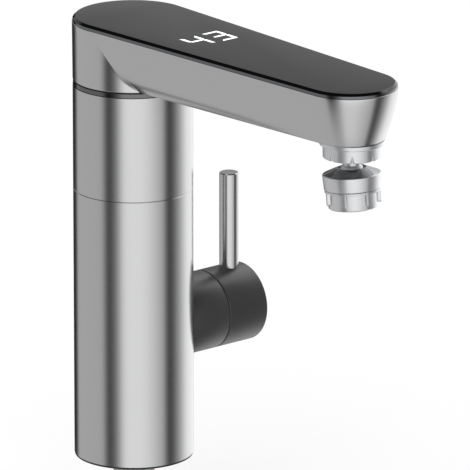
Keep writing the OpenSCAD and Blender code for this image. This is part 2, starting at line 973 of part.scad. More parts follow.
module heating_element() {
    low = tank_z + tank_floor + rod_floor_gap + rod_r + rod_ring_r;
    color(copper)
        for (pair = [0, 1])
            rotate(pair * 90) {
                foot = low + pair * rod_pair_step;
                for (side = [-1, 1])
                    translate([side * rod_ring_r, 0, foot])
                        cylinder(h = lid_top + rod_stub - foot, r = rod_r);
                translate([0, 0, foot])
                    rotate([-90, 0, 0])
                        rotate_extrude(angle = 180)
                            translate([rod_ring_r, 0])
                                circle(rod_r);
            }
}

module thermal_cutout() {
    color(black)
        rotate(cutout_turn)
            translate([cutout_ring_r, 0, lid_top]) {
                cylinder(h = cutout_h, r = cutout_r);
                for (side = [-1, 1])
                    translate([-spade_t / 2, side * cutout_r / 2 - spade_w / 4, cutout_h])
                        cube([spade_t, spade_w / 2, spade_h / 2]);
            }
}

module control_board() {
    color(board_green)
        translate([-board_w / 2, board_y, tank_z])
            cube([board_w, board_t, board_h]);
    color(white_plastic)
        translate([-board_w / 4, board_y - connector_d, connector_z])
            cube([board_w / 2, connector_d, connector_h]);
}

module power_switch() {
    color(black)
        translate([-switch_w / 2, board_y - switch_d, switch_z])
            cube([switch_w, switch_d, switch_h]);
    color(steel)
        translate([-switch_w / 2, board_y - switch_tab_t, switch_z + switch_h])
            cube([switch_w, switch_tab_t, switch_tab_h]);
}

module swivel_hub() {
    clip_z = sleeve_top + body_gap;
    color(brass)
        difference() {
            union() {
                translate([0, 0, hub_flange_z])
                    cylinder(h = hub_flange_t, r = inner_r);
                translate([0, 0, hub_flange_z - hub_boss_h])
                    cylinder(h = hub_boss_h + overrun, r = hub_boss_r);
                translate([0, 0, hub_flange_z])
                    cylinder(h = clip_z + clip_t + hub_tip - hub_flange_z, r = hub_r);
            }
            translate([0, 0, hub_flange_z - hub_boss_h - overrun])
                cylinder(h = hub_boss_h - lid_spigot_gap + overrun, r = lid_spigot_r + running_fit);
            translate([0, 0, hub_flange_z - hub_boss_h])
                cylinder(h = tube_z + port_r - hub_flange_z + hub_boss_h, r = hub_bore_r);
            translate([0, 0, tube_z])
                rotate([90, 0, 0])
                    cylinder(h = hub_r + overrun, r = port_r);
            translate([0, 0, tube_z - port_groove_h / 2])
                ring(hub_r + overrun, hub_r - port_groove_d, port_groove_h);
            for (side = [-1, 1])
                translate([0, 0, tube_z + side * seal_offset - seal_groove_w / 2])
                    ring(hub_r + overrun, hub_r - seal_groove_d, seal_groove_w);
            translate([0, 0, clip_z])
                ring(hub_r + overrun, hub_r - clip_groove_d, clip_t);
            translate([0, wire_hole_y, hub_flange_z - overrun])
                cylinder(h = clip_z + clip_t + hub_tip - hub_flange_z + 2 * overrun, r = wire_hole_r);
            at_posts() {
                translate([0, 0, hub_flange_z - overrun])
                    cylinder(h = hub_flange_t + 2 * overrun, r = screw_r + seat_fit);
                translate([0, 0, hub_flange_top - screw_sunk - screw_head_h])
                    cylinder(h = screw_head_h + screw_sunk + overrun, r = screw_head_r + seat_fit);
            }
        }
}

module hub_screws() {
    color(steel)
        translate([0, 0, hub_flange_top - screw_sunk - screw_head_h])
            at_posts()
                screw(base_screw_grip, screw_r, screw_head_r, screw_head_h);
}

module hub_seals() {
    color(rubber)
        for (side = [-1, 1])
            translate([0, 0, tube_z + side * seal_offset])
                round_seal(hub_r - seal_groove_d / 2, seal_section_r);
}

module hub_clip() {
    color(steel)
        translate([0, 0, sleeve_top + body_gap])
            rotate(90 + clip_gap_deg / 2)
                rotate_extrude(angle = 360 - clip_gap_deg)
                    translate([hub_r - clip_groove_d, 0])
                        square([clip_w, clip_t]);
}

module swivel_ring() {
    out_r = column_r - ring_inset;
    top = column_h + ring_h;
    pin_deg = 2 * asin(stop_groove_r / stop_ring_r);
    color(plastic)
        difference() {
            rotate_extrude()
                polygon([
                    [ring_bore_r, column_h], [inner_r - ring_skirt_w, column_h],
                    [inner_r - ring_skirt_w, hub_flange_top], [inner_r, hub_flange_top],
                    [inner_r, column_h], [out_r - ring_line_d, column_h],
                    [out_r - ring_line_d, column_h + ring_line_h],
                    [out_r, column_h + ring_line_h], [out_r, top - ring_line_h],
                    [out_r - ring_line_d, top - ring_line_h], [out_r - ring_line_d, top],
                    [ring_bore_r, top]
                ]);
            // Curved groove that limits the swing of the stop pin
            translate([0, 0, top - stop_depth - body_gap])
                rotate(90 - swing_deg / 2 - pin_deg / 2)
                    rotate_extrude(angle = swing_deg + pin_deg)
                        translate([stop_ring_r - stop_groove_r, 0])
                            square([2 * stop_groove_r, stop_depth + body_gap + overrun]);
        }
}

module spout_shell() {
    color(steel)
        difference() {
            union() {
                translate([0, 0, head_z])
                    cylinder(h = arm_top - head_z, r1 = column_r, r2 = column_r + head_flare);
                arm_form(0, 0, 0);
            }
            translate([0, 0, head_z + head_floor])
                cylinder(h = arm_top - head_z, r = column_r - spout_wall);
            arm_form(spout_wall, arm_lift + arm_floor, arm_floor);
            // Opens the arm's hollow through the upper edge
            translate([0, 0, arm_top - 2 * slice])
                linear_extrude(overrun)
                    spout_outline(column_r - spout_wall, tip_top_r - spout_wall, $fn = loft_facets);
            translate([0, 0, head_z - overrun])
                cylinder(h = head_floor + 2 * overrun, r = sleeve_out_r + seat_fit);
            translate([0, -outlet_y, arm_low - overrun])
                cylinder(h = arm_floor + 2 * overrun, r = outlet_hole_r + seat_fit);
            // Flat seat of the outlet's trim ring
            translate([0, -outlet_y, head_z])
                cylinder(h = arm_lift, r = flange_r + seat_fit);
            translate([0, stop_ring_r, head_z - overrun])
                cylinder(h = head_floor + 2 * overrun, r = stop_pin_r);
            at_sleeve_screws()
                translate([0, 0, head_z + blind_floor])
                    cylinder(h = head_floor, r = screw_r);
        }
}

// Children at the screws that hold the swivel sleeve
module at_sleeve_screws() {
    for (k = [0:3])
        rotate(post_turn + k * 90)
            translate([sleeve_screw_ring_r, 0, 0])
                children();
}

module swivel_sleeve() {
    color(brass)
        difference() {
            union() {
                translate([0, 0, head_z])
                    cylinder(h = swivel_sleeve_h, r = sleeve_out_r);
                translate([0, 0, head_z + head_floor])
                    cylinder(h = sleeve_flange_h, r = sleeve_flange_r);
                translate([0, 0, tube_z])
                    rotate([90, 0, 0])
                        cylinder(h = sleeve_out_r + stub_len, r = hose_in_r);
            }
            translate([0, 0, head_z - overrun])
                cylinder(h = swivel_sleeve_h + 2 * overrun, r = sleeve_bore_r);
            translate([0, 0, tube_z])
                rotate([90, 0, 0])
                    cylinder(h = sleeve_out_r + stub_len + overrun, r = stub_bore_r);
            at_sleeve_screws()
                translate([0, 0, head_z + blind_floor])
                    cylinder(h = head_floor + sleeve_flange_h, r = screw_r);
        }
}

module sleeve_screws() {
    color(steel)
        translate([0, 0, head_z + head_floor + sleeve_flange_h])
            at_sleeve_screws()
                screw(head_floor + sleeve_flange_h - blind_floor, screw_r, sleeve_head_r,
                    screw_head_h);
}

module stop_pin() {
    color(steel)
        translate([0, stop_ring_r, column_h + ring_h - stop_depth])
            cylinder(h = stop_depth + body_gap + head_floor, r = stop_pin_r);
}

module spout_tube() {
    start = sleeve_out_r + hose_push;
    stop = outlet_y - fitting_r - hose_push;
    color(white_plastic)
        translate([0, -start, tube_z])
            rotate([90, 0, 0])
                ring(hose_r, hose_in_r + running_fit, stop - start);
}

module outlet_fitting() {
    color(brass)
        translate([0, -outlet_y, arm_low])
            difference() {
                union() {
                    cylinder(h = arm_floor, r = outlet_hole_r);
                    translate([0, 0, arm_floor])
                        cylinder(h = fitting_h, r = fitting_r);
                    translate([0, 0, tube_z - arm_low])
                        rotate([-90, 0, 0])
                            cylinder(h = fitting_r + stub_len, r = hose_in_r);
                }
                translate([0, 0, -overrun])
                    cylinder(h = arm_floor + fitting_h - fitting_roof + overrun, r = fitting_bore_r);
                translate([0, 0, tube_z - arm_low])
                    rotate([-90, 0, 0])
                        cylinder(h = fitting_r + stub_len + overrun, r = stub_bore_r);
                cylinder(h = arm_floor + fitting_h + overrun, r = probe_tip_r);
            }
}

module temperature_probe() {
    top = arm_low + arm_floor + fitting_h;
    color(dark_steel)
        translate([0, -outlet_y, top]) {
            cylinder(h = probe_up, r = probe_r);
            translate([0, 0, -fitting_roof - probe_down])
                cylinder(h = fitting_roof + probe_down, r = probe_tip_r);
        }
}

module panel_bezel() {
    color(dark_steel)
        translate([0, 0, arm_top])
            difference() {
                union() {
                    linear_extrude(bezel_h)
                        spout_outline(trim_head_r, trim_tip_r);
                    translate([0, 0, -bezel_lip_h])
                        linear_extrude(bezel_lip_h)
                            spout_outline(column_r - spout_wall - bezel_lip_ease,
                                tip_top_r - spout_wall - bezel_lip_ease);
                }
                translate([0, 0, -bezel_lip_h - overrun])
                    linear_extrude(bezel_lip_h + bezel_h + 2 * overrun)
                        spout_outline(trim_head_r - bezel_w, trim_tip_r - bezel_w);
            }
}

module top_panel() {
    color("#15161a")
        difference() {
            union() {
                hull() {
                    translate([0, 0, glass_z])
                        linear_extrude(slice)
                            spout_outline(trim_head_r, trim_tip_r, $fn = loft_facets);
                    translate([0, 0, glass_top - slice])
                        linear_extrude(slice)
                            spout_outline(trim_head_r - glass_edge, trim_tip_r - glass_edge,
                                $fn = loft_facets);
                }
                translate([0, 0, glass_z - glass_plug_h])
                    linear_extrude(glass_plug_h + slice)
                        spout_outline(trim_head_r - bezel_w - seat_fit,
                            trim_tip_r - bezel_w - seat_fit);
            }
            translate([0, 0, glass_top - figure_depth])
                linear_extrude(figure_depth + overrun)
                    figures();
        }
}

// One stroke of a figure, with pointed ends, along X
module stroke(length) {
    half = length / 2 - segment_gap;
    side = stroke_w / 2;
    polygon([
        [-half, 0], [-half + side, side], [half - side, side],
        [half, 0], [half - side, -side], [-half + side, -side]
    ]);
}

// Seven-stroke figure. Lit says which strokes show: top, upper right, lower right, bottom,
// lower left, upper left, middle
module figure(lit) {
    across = figure_w - stroke_w;
    down = (figure_h - stroke_w) / 2;
    places = [
        [0, down, 0], [across / 2, down / 2, upright], [across / 2, -down / 2, upright],
        [0, -down, 0], [-across / 2, -down / 2, upright], [-across / 2, down / 2, upright],
        [0, 0, 0]
    ];
    for (k = [0:len(places) - 1])
        if (lit[k])
            translate([places[k].x, places[k].y])
                rotate(places[k].z)
                    stroke(places[k].z == 0 ? across : down);
}

// A temperature of forty-three, read from in front of the tap
module figures() {
    four = [false, true, true, false, false, true, true];
    three = [true, true, true, true, false, false, true];
    translate([-figure_pitch / 2, -figures_y])
        figure(four);
    translate([figure_pitch / 2, -figures_y])
        figure(three);
}

module display_module() {
    color(white_plastic)
        translate([-module_w / 2, -figures_y - module_d / 2, glass_z - glass_plug_h - module_h])
            cube([module_w, module_d, module_h]);
}

module display_board() {
    color(board_green)
        translate([-module_board_w / 2, -figures_y - module_board_d / 2,
                glass_z - glass_plug_h - module_h - module_board_t])
            cube([module_board_w, module_board_d, module_board_t]);
}

module display_figures() {
    color("white")
        translate([0, 0, glass_top - figure_depth])
            linear_extrude(figure_depth)
                figures();
}

module outlet_flange() {
    color(chrome)
        translate([0, -outlet_y, arm_low])
            rotate([180, 0, 0])
                difference() {
                    soft_disc(flange_r, flange_h, flange_edge);
                    translate([0, 0, -overrun])
                        cylinder(h = flange_h + 2 * overrun, r = fitting_bore_r);
                }
}

module aerator_collar() {
    color(chrome)
        translate([0, -outlet_y, collar_z])
            difference() {
                union() {
                    translate([0, 0, collar_h])
                        rotate([180, 0, 0])
                            soft_disc(collar_r, collar_h, collar_edge);
                    translate([0, 0, collar_h - collar_roof])
                        cylinder(h = collar_roof + flange_h + collar_neck_h, r = collar_neck_r);
                }
                translate([0, 0, -overrun])
                    cylinder(h = collar_h, r = collar_throat_r);
                translate([0, 0, collar_floor])
                    cylinder(h = collar_h - collar_floor - collar_roof, r = collar_socket_r);
                translate([0, 0, collar_floor])
                    cylinder(h = collar_h + flange_h + collar_neck_h, r = collar_neck_bore_r);
                for (k = [0:notch_count - 1])
                    rotate(notch_turn + k * 360 / notch_count)
                        translate([collar_r, 0, -slice])
                            cylinder(h = notch_h, r1 = notch_r, r2 = 0);
            }
}

module collar_washer() {
    color(rubber)
        translate([0, -outlet_y, collar_z + collar_floor + stem_flange_h])
            ring(collar_socket_r - seat_fit, collar_neck_bore_r - washer_lip, washer_h);
}

module ball_stem() {
    color(chrome)
        translate([0, -outlet_y, 0])
            difference() {
                union() {
                    translate([0, 0, ball_z])
                        sphere(ball_r);
                    translate([0, 0, ball_z])
                        cylinder(h = ball_drop + collar_floor + slice, r = neck_r);
                    translate([0, 0, collar_z + collar_floor])
                        cylinder(h = stem_flange_h, r = collar_socket_r - seat_fit);
                }
                translate([0, 0, ball_z - ball_r - overrun])
                    cylinder(h = ball_r + ball_drop + collar_h + overrun, r = stem_bore_r);
            }
}

module ball_liner() {
    color(white_plastic)
        translate([0, -outlet_y, ball_z])
            difference() {
                sphere(liner_r);
                sphere(ball_r + running_fit);
                translate([0, 0, liner_up])
                    cylinder(h = 2 * liner_r, r = liner_r + overrun);
                translate([0, 0, -liner_down - liner_r])
                    cylinder(h = liner_r, r = liner_r + overrun);
            }
}

module swivel_cap() {
    color(chrome)
        on_ball()
            difference() {
                rotate_extrude()
                    polygon([
                        [0, cap_mouth_up], [cap_mouth_r + cap_land_w, cap_mouth_up],
                        [nozzle_r - cap_rim_edge, cap_rim_up + cap_rim_edge / 2],
                        [nozzle_r, cap_rim_up - cap_rim_edge],
                        [cap_low_r, -cap_low], [0, -cap_low]
                    ]);
                sphere(ball_r + body_gap / 2);
                intersection() {
                    sphere(liner_r + running_fit);
                    translate([0, 0, -liner_r - overrun])
                        cylinder(h = liner_r + overrun + socket_up, r = liner_r + overrun);
                }
                cylinder(h = cap_mouth_up + overrun, r = cap_mouth_r);
                translate([0, 0, -cap_low - overrun])
                    cylinder(h = cap_low + overrun - core_top_down, r = cap_bore_r);
            }
}

module flow_core() {
    color(plastic)
        on_ball()
            difference() {
                union() {
                    translate([0, 0, -cap_low])
                        cylinder(h = cap_low - core_top_down, r = core_r);
                    translate([0, 0, -core_top_down - core_h])
                        cylinder(h = core_h, r = core_skirt_r);
                }
                sphere(liner_r + running_fit);
                translate([0, 0, -core_top_down - core_h - overrun])
                    cylinder(h = core_h + 2 * overrun, r = core_bore_r);
                translate([0, 0, -cap_low + (cap_low - core_top_down - core_groove_w) / 2])
                    ring(core_r + overrun, core_r - core_groove_d, core_groove_w);
            }
}

module core_seal() {
    color(rubber)
        on_ball()
            translate([0, 0, -cap_low + (cap_low - core_top_down) / 2])
                round_seal(core_r - core_groove_d / 2, core_groove_d * oring_section_share);
}

module spray_sleeve() {
    rib_low = nozzle_len - rib_stop - rib_w / 2;
    color(chrome)
        on_ball()
            difference() {
                union() {
                    translate([0, 0, -sleeve_top_down])
                        rotate([180, 0, 0])
                            soft_disc(sleeve_r, nozzle_len - sleeve_top_down, flange_edge);
                    translate([0, 0, -sleeve_top_down - rib_crown_h])
                        cylinder(h = rib_crown_h, r = rib_r);
                    intersection() {
                        translate([0, 0, -nozzle_len])
                            cylinder(h = nozzle_len - sleeve_top_down, r = rib_r);
                        for (k = [0:rib_count - 1])
                            rotate(rib_turn + k * 360 / rib_count) {
                                translate([sleeve_r - rib_root, -rib_w / 2, -rib_low])
                                    cube([rib_r, rib_w, rib_low - sleeve_top_down]);
                                translate([sleeve_r - rib_root, 0, -rib_low])
                                    rotate([0, 90, 0])
                                        cylinder(h = rib_r, r = rib_w / 2);
                            }
                    }
                }
                translate([0, 0, -nozzle_len - overrun])
                    cylinder(h = nozzle_len, r = sleeve_r - sleeve_wall);
            }
}

module flow_insert() {
    color(white_plastic)
        on_ball()
            translate([0, 0, -nozzle_len + insert_set])
                difference() {
                    cylinder(h = insert_h, r = insert_r);
                    translate([0, 0, -overrun])
                        in_rings(insert_rings, insert_pitch)
                            cylinder(h = insert_h + 2 * overrun, r = insert_hole_r);
                }
}

base_gasket();
base_plate();
inlet_shank();
inlet_filter();
inlet_seal();
horseshoe_gasket();
horseshoe_washer();
shank_nut();
cable_bush();
base_screws();
lower_shell();
upper_shell();
joint_ring();
chassis();
valve_body();
valve_cartridge();
cartridge_nut();
flow_switch();
knob_collar();
knob_cap();
valve_stem();
lever_rod();
knob_screw();
heater_tank();
tank_seal();
tank_lid();
lid_screws();
heating_element();
thermal_cutout();
control_board();
power_switch();
swivel_hub();
hub_screws();
hub_seals();
hub_clip();
swivel_ring();
spout_shell();
swivel_sleeve();
sleeve_screws();
stop_pin();
spout_tube();
outlet_fitting();
temperature_probe();
panel_bezel();
top_panel();
display_module();
display_board();
display_figures();
outlet_flange();
aerator_collar();
collar_washer();
ball_stem();
ball_liner();
swivel_cap();
flow_core();
core_seal();
spray_sleeve();
flow_insert();
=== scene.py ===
"""Looks of an electric instant water heater tap, dressed over its packed construction frame.

The tap stands on a round column with a knob on its side. A spout head with a lit panel turns on
the column, and a small nozzle hangs under the spout's end. Sizes in this file are in millimetres,
in the frame of the construction: the foot stands at zero, up is Z, and the spout points along -Y.
"""

import json
import logging
import math
from dataclasses import dataclass, field
from enum import Enum

import bmesh
import bpy
from mathutils import Matrix, Vector

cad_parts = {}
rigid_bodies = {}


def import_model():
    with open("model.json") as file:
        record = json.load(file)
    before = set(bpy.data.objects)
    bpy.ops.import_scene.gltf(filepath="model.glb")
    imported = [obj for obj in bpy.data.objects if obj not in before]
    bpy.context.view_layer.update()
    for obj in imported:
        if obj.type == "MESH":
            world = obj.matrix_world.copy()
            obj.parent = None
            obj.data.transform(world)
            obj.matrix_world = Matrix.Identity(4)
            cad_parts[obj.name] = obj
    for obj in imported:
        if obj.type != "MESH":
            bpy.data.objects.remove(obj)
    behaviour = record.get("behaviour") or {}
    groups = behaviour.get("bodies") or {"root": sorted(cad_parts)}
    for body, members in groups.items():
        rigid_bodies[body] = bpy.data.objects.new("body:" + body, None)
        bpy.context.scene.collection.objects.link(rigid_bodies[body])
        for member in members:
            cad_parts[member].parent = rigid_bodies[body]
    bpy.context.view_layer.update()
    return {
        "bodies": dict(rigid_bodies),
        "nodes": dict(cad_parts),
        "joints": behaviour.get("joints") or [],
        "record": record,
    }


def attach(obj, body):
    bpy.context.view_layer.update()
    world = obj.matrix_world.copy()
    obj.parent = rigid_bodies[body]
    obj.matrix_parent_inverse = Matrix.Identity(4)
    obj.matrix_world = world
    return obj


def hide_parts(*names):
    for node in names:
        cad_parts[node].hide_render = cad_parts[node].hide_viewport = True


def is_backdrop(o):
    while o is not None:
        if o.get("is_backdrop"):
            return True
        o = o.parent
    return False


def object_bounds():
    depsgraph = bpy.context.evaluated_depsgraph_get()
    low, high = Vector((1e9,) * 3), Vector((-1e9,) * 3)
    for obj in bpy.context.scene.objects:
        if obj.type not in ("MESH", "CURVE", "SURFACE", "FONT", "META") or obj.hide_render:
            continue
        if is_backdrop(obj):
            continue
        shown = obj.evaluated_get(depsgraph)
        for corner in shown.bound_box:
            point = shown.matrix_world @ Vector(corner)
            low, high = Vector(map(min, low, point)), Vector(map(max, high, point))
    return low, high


MM = 0.001
PAST = 1.0  # How far a cutter runs past the surface that it opens
MERGED, SLIVER = 0.002, 0.001  # Points closer than the first are one; thinner faces go
NEAR = 0.02  # Points closer to a line than this lie on it
CRISP = 32.0  # Edges that fold by more degrees stay crisp
NOISE_LOW, NOISE_HIGH = 0.3, 0.7  # Where a noise pattern mostly keeps
WHITE = (1.0, 1.0, 1.0, 1.0)
Piece = bpy.types.Object
NodeInput = float | tuple | bpy.types.NodeSocket
Point = tuple[float, float, float]
Flat = tuple[float, ...]  # X and Y, or a profile's corner: radius, height and any rounding

log = logging.getLogger("tap")


# --- Colours and shader nodes ---


def linear(colour: str, by: float = 1.0) -> tuple[float, ...]:
    """Turns an sRGB hex colour into the linear values that shaders take.

    Args:
        colour: The colour as "#RRGGBB".
        by: How much lighter or darker it comes out.

    Returns:
        Linear red, green and blue, and full opacity.
    """
    parts = [int(colour[i : i + 2], 16) / 255 for i in (1, 3, 5)]
    light = (p / 12.92 if p <= 0.04045 else ((p + 0.055) / 1.055) ** 2.4 for p in parts)
    return *(p * by for p in light), 1.0


def cleared(owner: bpy.types.Material | bpy.types.World) -> bpy.types.NodeTree:
    """Empties the node tree of a material or world.

    Args:
        owner: The material or world.

    Returns:
        Its node tree.
    """
    owner.use_nodes = True
    owner.node_tree.nodes.clear()
    return owner.node_tree


def add(
    tree: bpy.types.NodeTree,
    kind: str,
    inputs: dict[str | int, NodeInput] | None = None,
    out: str | int = 0,
    **settings: object,
) -> bpy.types.NodeSocket | None:
    """Adds one node, with its settings, its input values and its links.

    Args:
        tree: The node tree of a material or the world.
        kind: The node's type, without the "ShaderNode" that each begins with.
        inputs: A value, or the socket that feeds it, for each input named or numbered.
        out: The name or number of the result that is wanted.
        **settings: The node's own properties.

    Returns:
        The socket of that result, or nothing for a last node.
    """
    node = tree.nodes.new(f"ShaderNode{kind}")
    for name, value in settings.items():
        setattr(node, name, value)
    for key, value in (inputs or {}).items():
        if isinstance(value, bpy.types.NodeSocket):
            tree.links.new(value, node.inputs[key])
        else:
            node.inputs[key].default_value = value
    return node.outputs[out] if node.outputs else None


# --- Finishes ---


class Grain(Enum):
    """Which way the fine marks of a finish run, as the stretch of its pattern along X, Y, Z."""

    EVEN = (1.0, 1.0, 1.0)
    ROUND_UPRIGHT = (0.12, 0.12, 1.0)
    LENGTHWISE = (1.0, 0.06, 1.0)


# Sockets of the Mix node where it mixes colours
MIX_FACTOR, MIX_FIRST, MIX_SECOND, MIX_COLOUR = 0, 6, 7, 2


@dataclass(frozen=True)
class Finish:
    """What a real surface gives the eye, and the material that repeats it."""

    colour: str  # Its colour as sRGB hex
    roughness: float  # How far it spreads a reflection
    metallic: float = 0.0  # 1 for bare metal
    ior: float = 1.5  # Index of refraction of what isn't metal
    coat: float = 0.0  # Share of clear lacquer over it
    coat_ior: float = 1.5  # Index of refraction of that lacquer
    coat_roughness: float = 0.03  # How far the lacquer spreads a reflection
    anisotropy: float = 0.0  # How far round marks draw a reflection out
    grain: Grain = Grain.EVEN  # The way that its fine marks run
    grain_mm: float = 0.5  # Distance between the fine marks
    grain_depth_mm: float = 0.002  # Their depth
    roughness_drift: float = 0.03  # How far the roughness strays with the marks
    tone_mm: float = 20.0  # Size of its soft lighter and darker places
    tone_drift: float = 0.03  # How much lighter and darker they are, as a share
    glow: float = 0.0  # Light that it gives off

    def material(self, name: str) -> bpy.types.Material:
        """Builds the finish's procedural material.

        Args:
            name: The material's name.

        Returns:
            The material, patterned in the real size of its marks.
        """
        made = bpy.data.materials.new(name)
        tree = cleared(made)
        place = add(tree, "TexCoord", out="Object")
        stretch = tuple(s / (MM * self.grain_mm) for s in self.grain.value)
        marks = add(tree, "Mapping", {"Vector": place, "Scale": stretch})
        noise = {"Vector": marks, "Scale": 1.0, "Detail": 4.0, "Roughness": 0.6}
        fine = add(tree, "TexNoise", noise)
        cloud = {"Vector": place, "Scale": 1 / (MM * self.tone_mm), "Detail": 2.0}
        shades = {
            MIX_FACTOR: add(tree, "TexNoise", cloud),
            MIX_FIRST: linear(self.colour, 1 - self.tone_drift),
            MIX_SECOND: linear(self.colour, 1 + self.tone_drift),
        }
        spread = {
            "Value": fine,
            "From Min": NOISE_LOW,
            "From Max": NOISE_HIGH,
            "To Min": max(self.roughness - self.roughness_drift, 0.0),
            "To Max": self.roughness + self.roughness_drift,
        }
        relief = {"Height": fine, "Distance": MM * self.grain_depth_mm, "Strength": 1.0}
        skin = {
            "Base Color": add(tree, "Mix", shades, MIX_COLOUR, data_type="RGBA"),
            "Roughness": add(tree, "MapRange", spread),
            "Normal": add(tree, "Bump", relief),
            "Metallic": self.metallic,
            "Coat Weight": self.coat,
            "Coat IOR": self.coat_ior,
            "Coat Roughness": self.coat_roughness,
            "Anisotropic": self.anisotropy,
        }
        if not self.metallic:
            skin["IOR"] = self.ior
        if self.glow:
            skin |= {"Emission Color": linear(self.colour), "Emission Strength": self.glow}
        if self.anisotropy:
            skin["Tangent"] = add(tree, "Tangent", direction_type="RADIAL", axis="Z")
        add(tree, "OutputMaterial", {"Surface": add(tree, "BsdfPrincipled", skin)})
        return made


@dataclass(frozen=True)
class Metal(Finish):
    """Bare or plated metal: it shows the room in its own tint."""

    metallic: float = 1.0


@dataclass(frozen=True)
class RoundPolished(Metal):
    """Metal polished while it turns upright: hair-fine marks run round it and soften its mirror."""

    # Fine belts leave marks of about 0.04 mm; drawn 0.5 mm apart so that they show faintly
    grain: Grain = Grain.ROUND_UPRIGHT
    grain_depth_mm: float = 0.0004


@dataclass(frozen=True)
class BeltPolishedSteel(RoundPolished):
    """Stainless steel, polished round with a fine belt: soft long reflections, no sharp glare."""

    colour: str = "#C5C5C6"
    roughness: float = 0.2
    anisotropy: float = 0.2
    roughness_drift: float = 0.015
    tone_mm: float = 35.0
    tone_drift: float = 0.015


@dataclass(frozen=True)
class GroundSteelBar(RoundPolished):
    """Stainless bar, ground between wheels and polished: the same steel, nearly a mirror."""

    colour: str = "#C5C5C6"
    roughness: float = 0.17
    anisotropy: float = 0.2
    grain_depth_mm: float = 0.0003
    roughness_drift: float = 0.015


@dataclass(frozen=True)
class DarkenedSteel(RoundPolished):
    """Bearing ring, black nickel over a turned flank: darker than the polished trim."""

    colour: str = "#6E6E6F"
    roughness: float = 0.12


@dataclass(frozen=True)
class BlackNickelPlate(RoundPolished):
    """Black nickel plated trim: a dim, smoky mirror, mid grey where the room is bright."""

    colour: str = "#717275"
    roughness: float = 0.16
    roughness_drift: float = 0.02


@dataclass(frozen=True)
class ChromedBrass(Metal):
    """Buffed and chrome plated brass: a clear mirror image under the haze of fine buffing marks."""

    colour: str = "#D8D9DB"
    roughness: float = 0.45
    coat: float = 1.0
    coat_ior: float = 2.6
    coat_roughness: float = 0.05
    grain_mm: float = 6.0
    grain_depth_mm: float = 0.004
    roughness_drift: float = 0.015
    tone_drift: float = 0.01


@dataclass(frozen=True)
class TurnedChrome(Metal):
    """Chrome over a cone left as turned: satin, so it blurs the dark ceiling and bright wall."""

    colour: str = "#ABACAE"
    roughness: float = 0.16
    tone_drift: float = 0.05


@dataclass(frozen=True)
class BakedSatinPaint(Finish):
    """Charcoal paint baked on a casting: almost smooth, with a satin sheen towards its edges."""

    # The paint's pebbles are about 0.15 mm; drawn at 0.35 mm so that they show up close
    colour: str = "#343435"
    roughness: float = 0.35
    grain_mm: float = 0.35
    grain_depth_mm: float = 0.0015
    tone_mm: float = 12.0
    tone_drift: float = 0.05


@dataclass(frozen=True)
class BackPaintedGlass(Finish):
    """Tempered glass painted black on its back: deep black under a clear polished face."""

    colour: str = "#060607"
    roughness: float = 0.05
    ior: float = 1.52
    grain_mm: float = 10.0
    grain_depth_mm: float = 0.0005
    roughness_drift: float = 0.01


@dataclass(frozen=True)
class LitWindow(Finish):
    """Diffusing window with white light behind it: even, shadowless white."""

    colour: str = "#F4F8FA"
    roughness: float = 0.4
    glow: float = 1.0
    grain_depth_mm: float = 0.0005


@dataclass(frozen=True)
class RolledSteel(Metal):
    """Cold rolled stainless sheet: dull grey with a lengthwise rolling grain."""

    colour: str = "#A9ABAD"
    roughness: float = 0.34
    grain: Grain = Grain.LENGTHWISE
    grain_mm: float = 0.4
    tone_drift: float = 0.04


@dataclass(frozen=True)
class ZincPlate(Metal):
    """Bright zinc plated steel: bluish grey with a slightly cloudy skin."""

    colour: str = "#B4B8BC"
    roughness: float = 0.28
    grain_mm: float = 0.6
    tone_mm: float = 3.0
    tone_drift: float = 0.06


@dataclass(frozen=True)
class TurnedBrass(Metal):
    """Brass cut on a lathe: warm yellow with fine tool rings."""

    # Feed marks are about 0.1 mm apart; drawn at 0.3 mm so that they show
    colour: str = "#C9A65E"
    roughness: float = 0.27
    grain: Grain = Grain.ROUND_UPRIGHT
    grain_mm: float = 0.3
    grain_depth_mm: float = 0.004
    tone_drift: float = 0.05


@dataclass(frozen=True)
class AnnealedCopper(Metal):
    """Heating rod sheath, annealed copper: pink brown with heat stains."""

    colour: str = "#B0714F"
    roughness: float = 0.36
    grain_mm: float = 0.8
    tone_mm: float = 8.0
    tone_drift: float = 0.18


@dataclass(frozen=True)
class PressedRubber(Finish):
    """Black EPDM rubber pressed in a mould: dull, with a fine bloom."""

    colour: str = "#1D1D1E"
    roughness: float = 0.7
    grain_mm: float = 0.4
    grain_depth_mm: float = 0.01
    tone_mm: float = 5.0
    tone_drift: float = 0.12


@dataclass(frozen=True)
class MouldedNylon(Finish):
    """Black glass-filled nylon, injection moulded: satin, with a faint flow pattern."""

    colour: str = "#2A2B2D"
    roughness: float = 0.48
    ior: float = 1.53
    grain_depth_mm: float = 0.006
    tone_mm: float = 9.0
    tone_drift: float = 0.08


@dataclass(frozen=True)
class MouldedAcetal(Finish):
    """White acetal, injection moulded: milky, slightly waxy gloss."""

    colour: str = "#DEDDD8"
    roughness: float = 0.36
    ior: float = 1.48
    grain_mm: float = 0.8
    grain_depth_mm: float = 0.003
    tone_mm: float = 7.0


@dataclass(frozen=True)
class MaskedBoard(Finish):
    """Glass fibre board under green solder lacquer: glossy, woven fibres just showing."""

    colour: str = "#1F5B38"
    roughness: float = 0.3
    ior: float = 1.55
    coat: float = 0.6
    coat_roughness: float = 0.12
    grain_mm: float = 0.9
    grain_depth_mm: float = 0.01
    tone_mm: float = 2.0
    tone_drift: float = 0.14


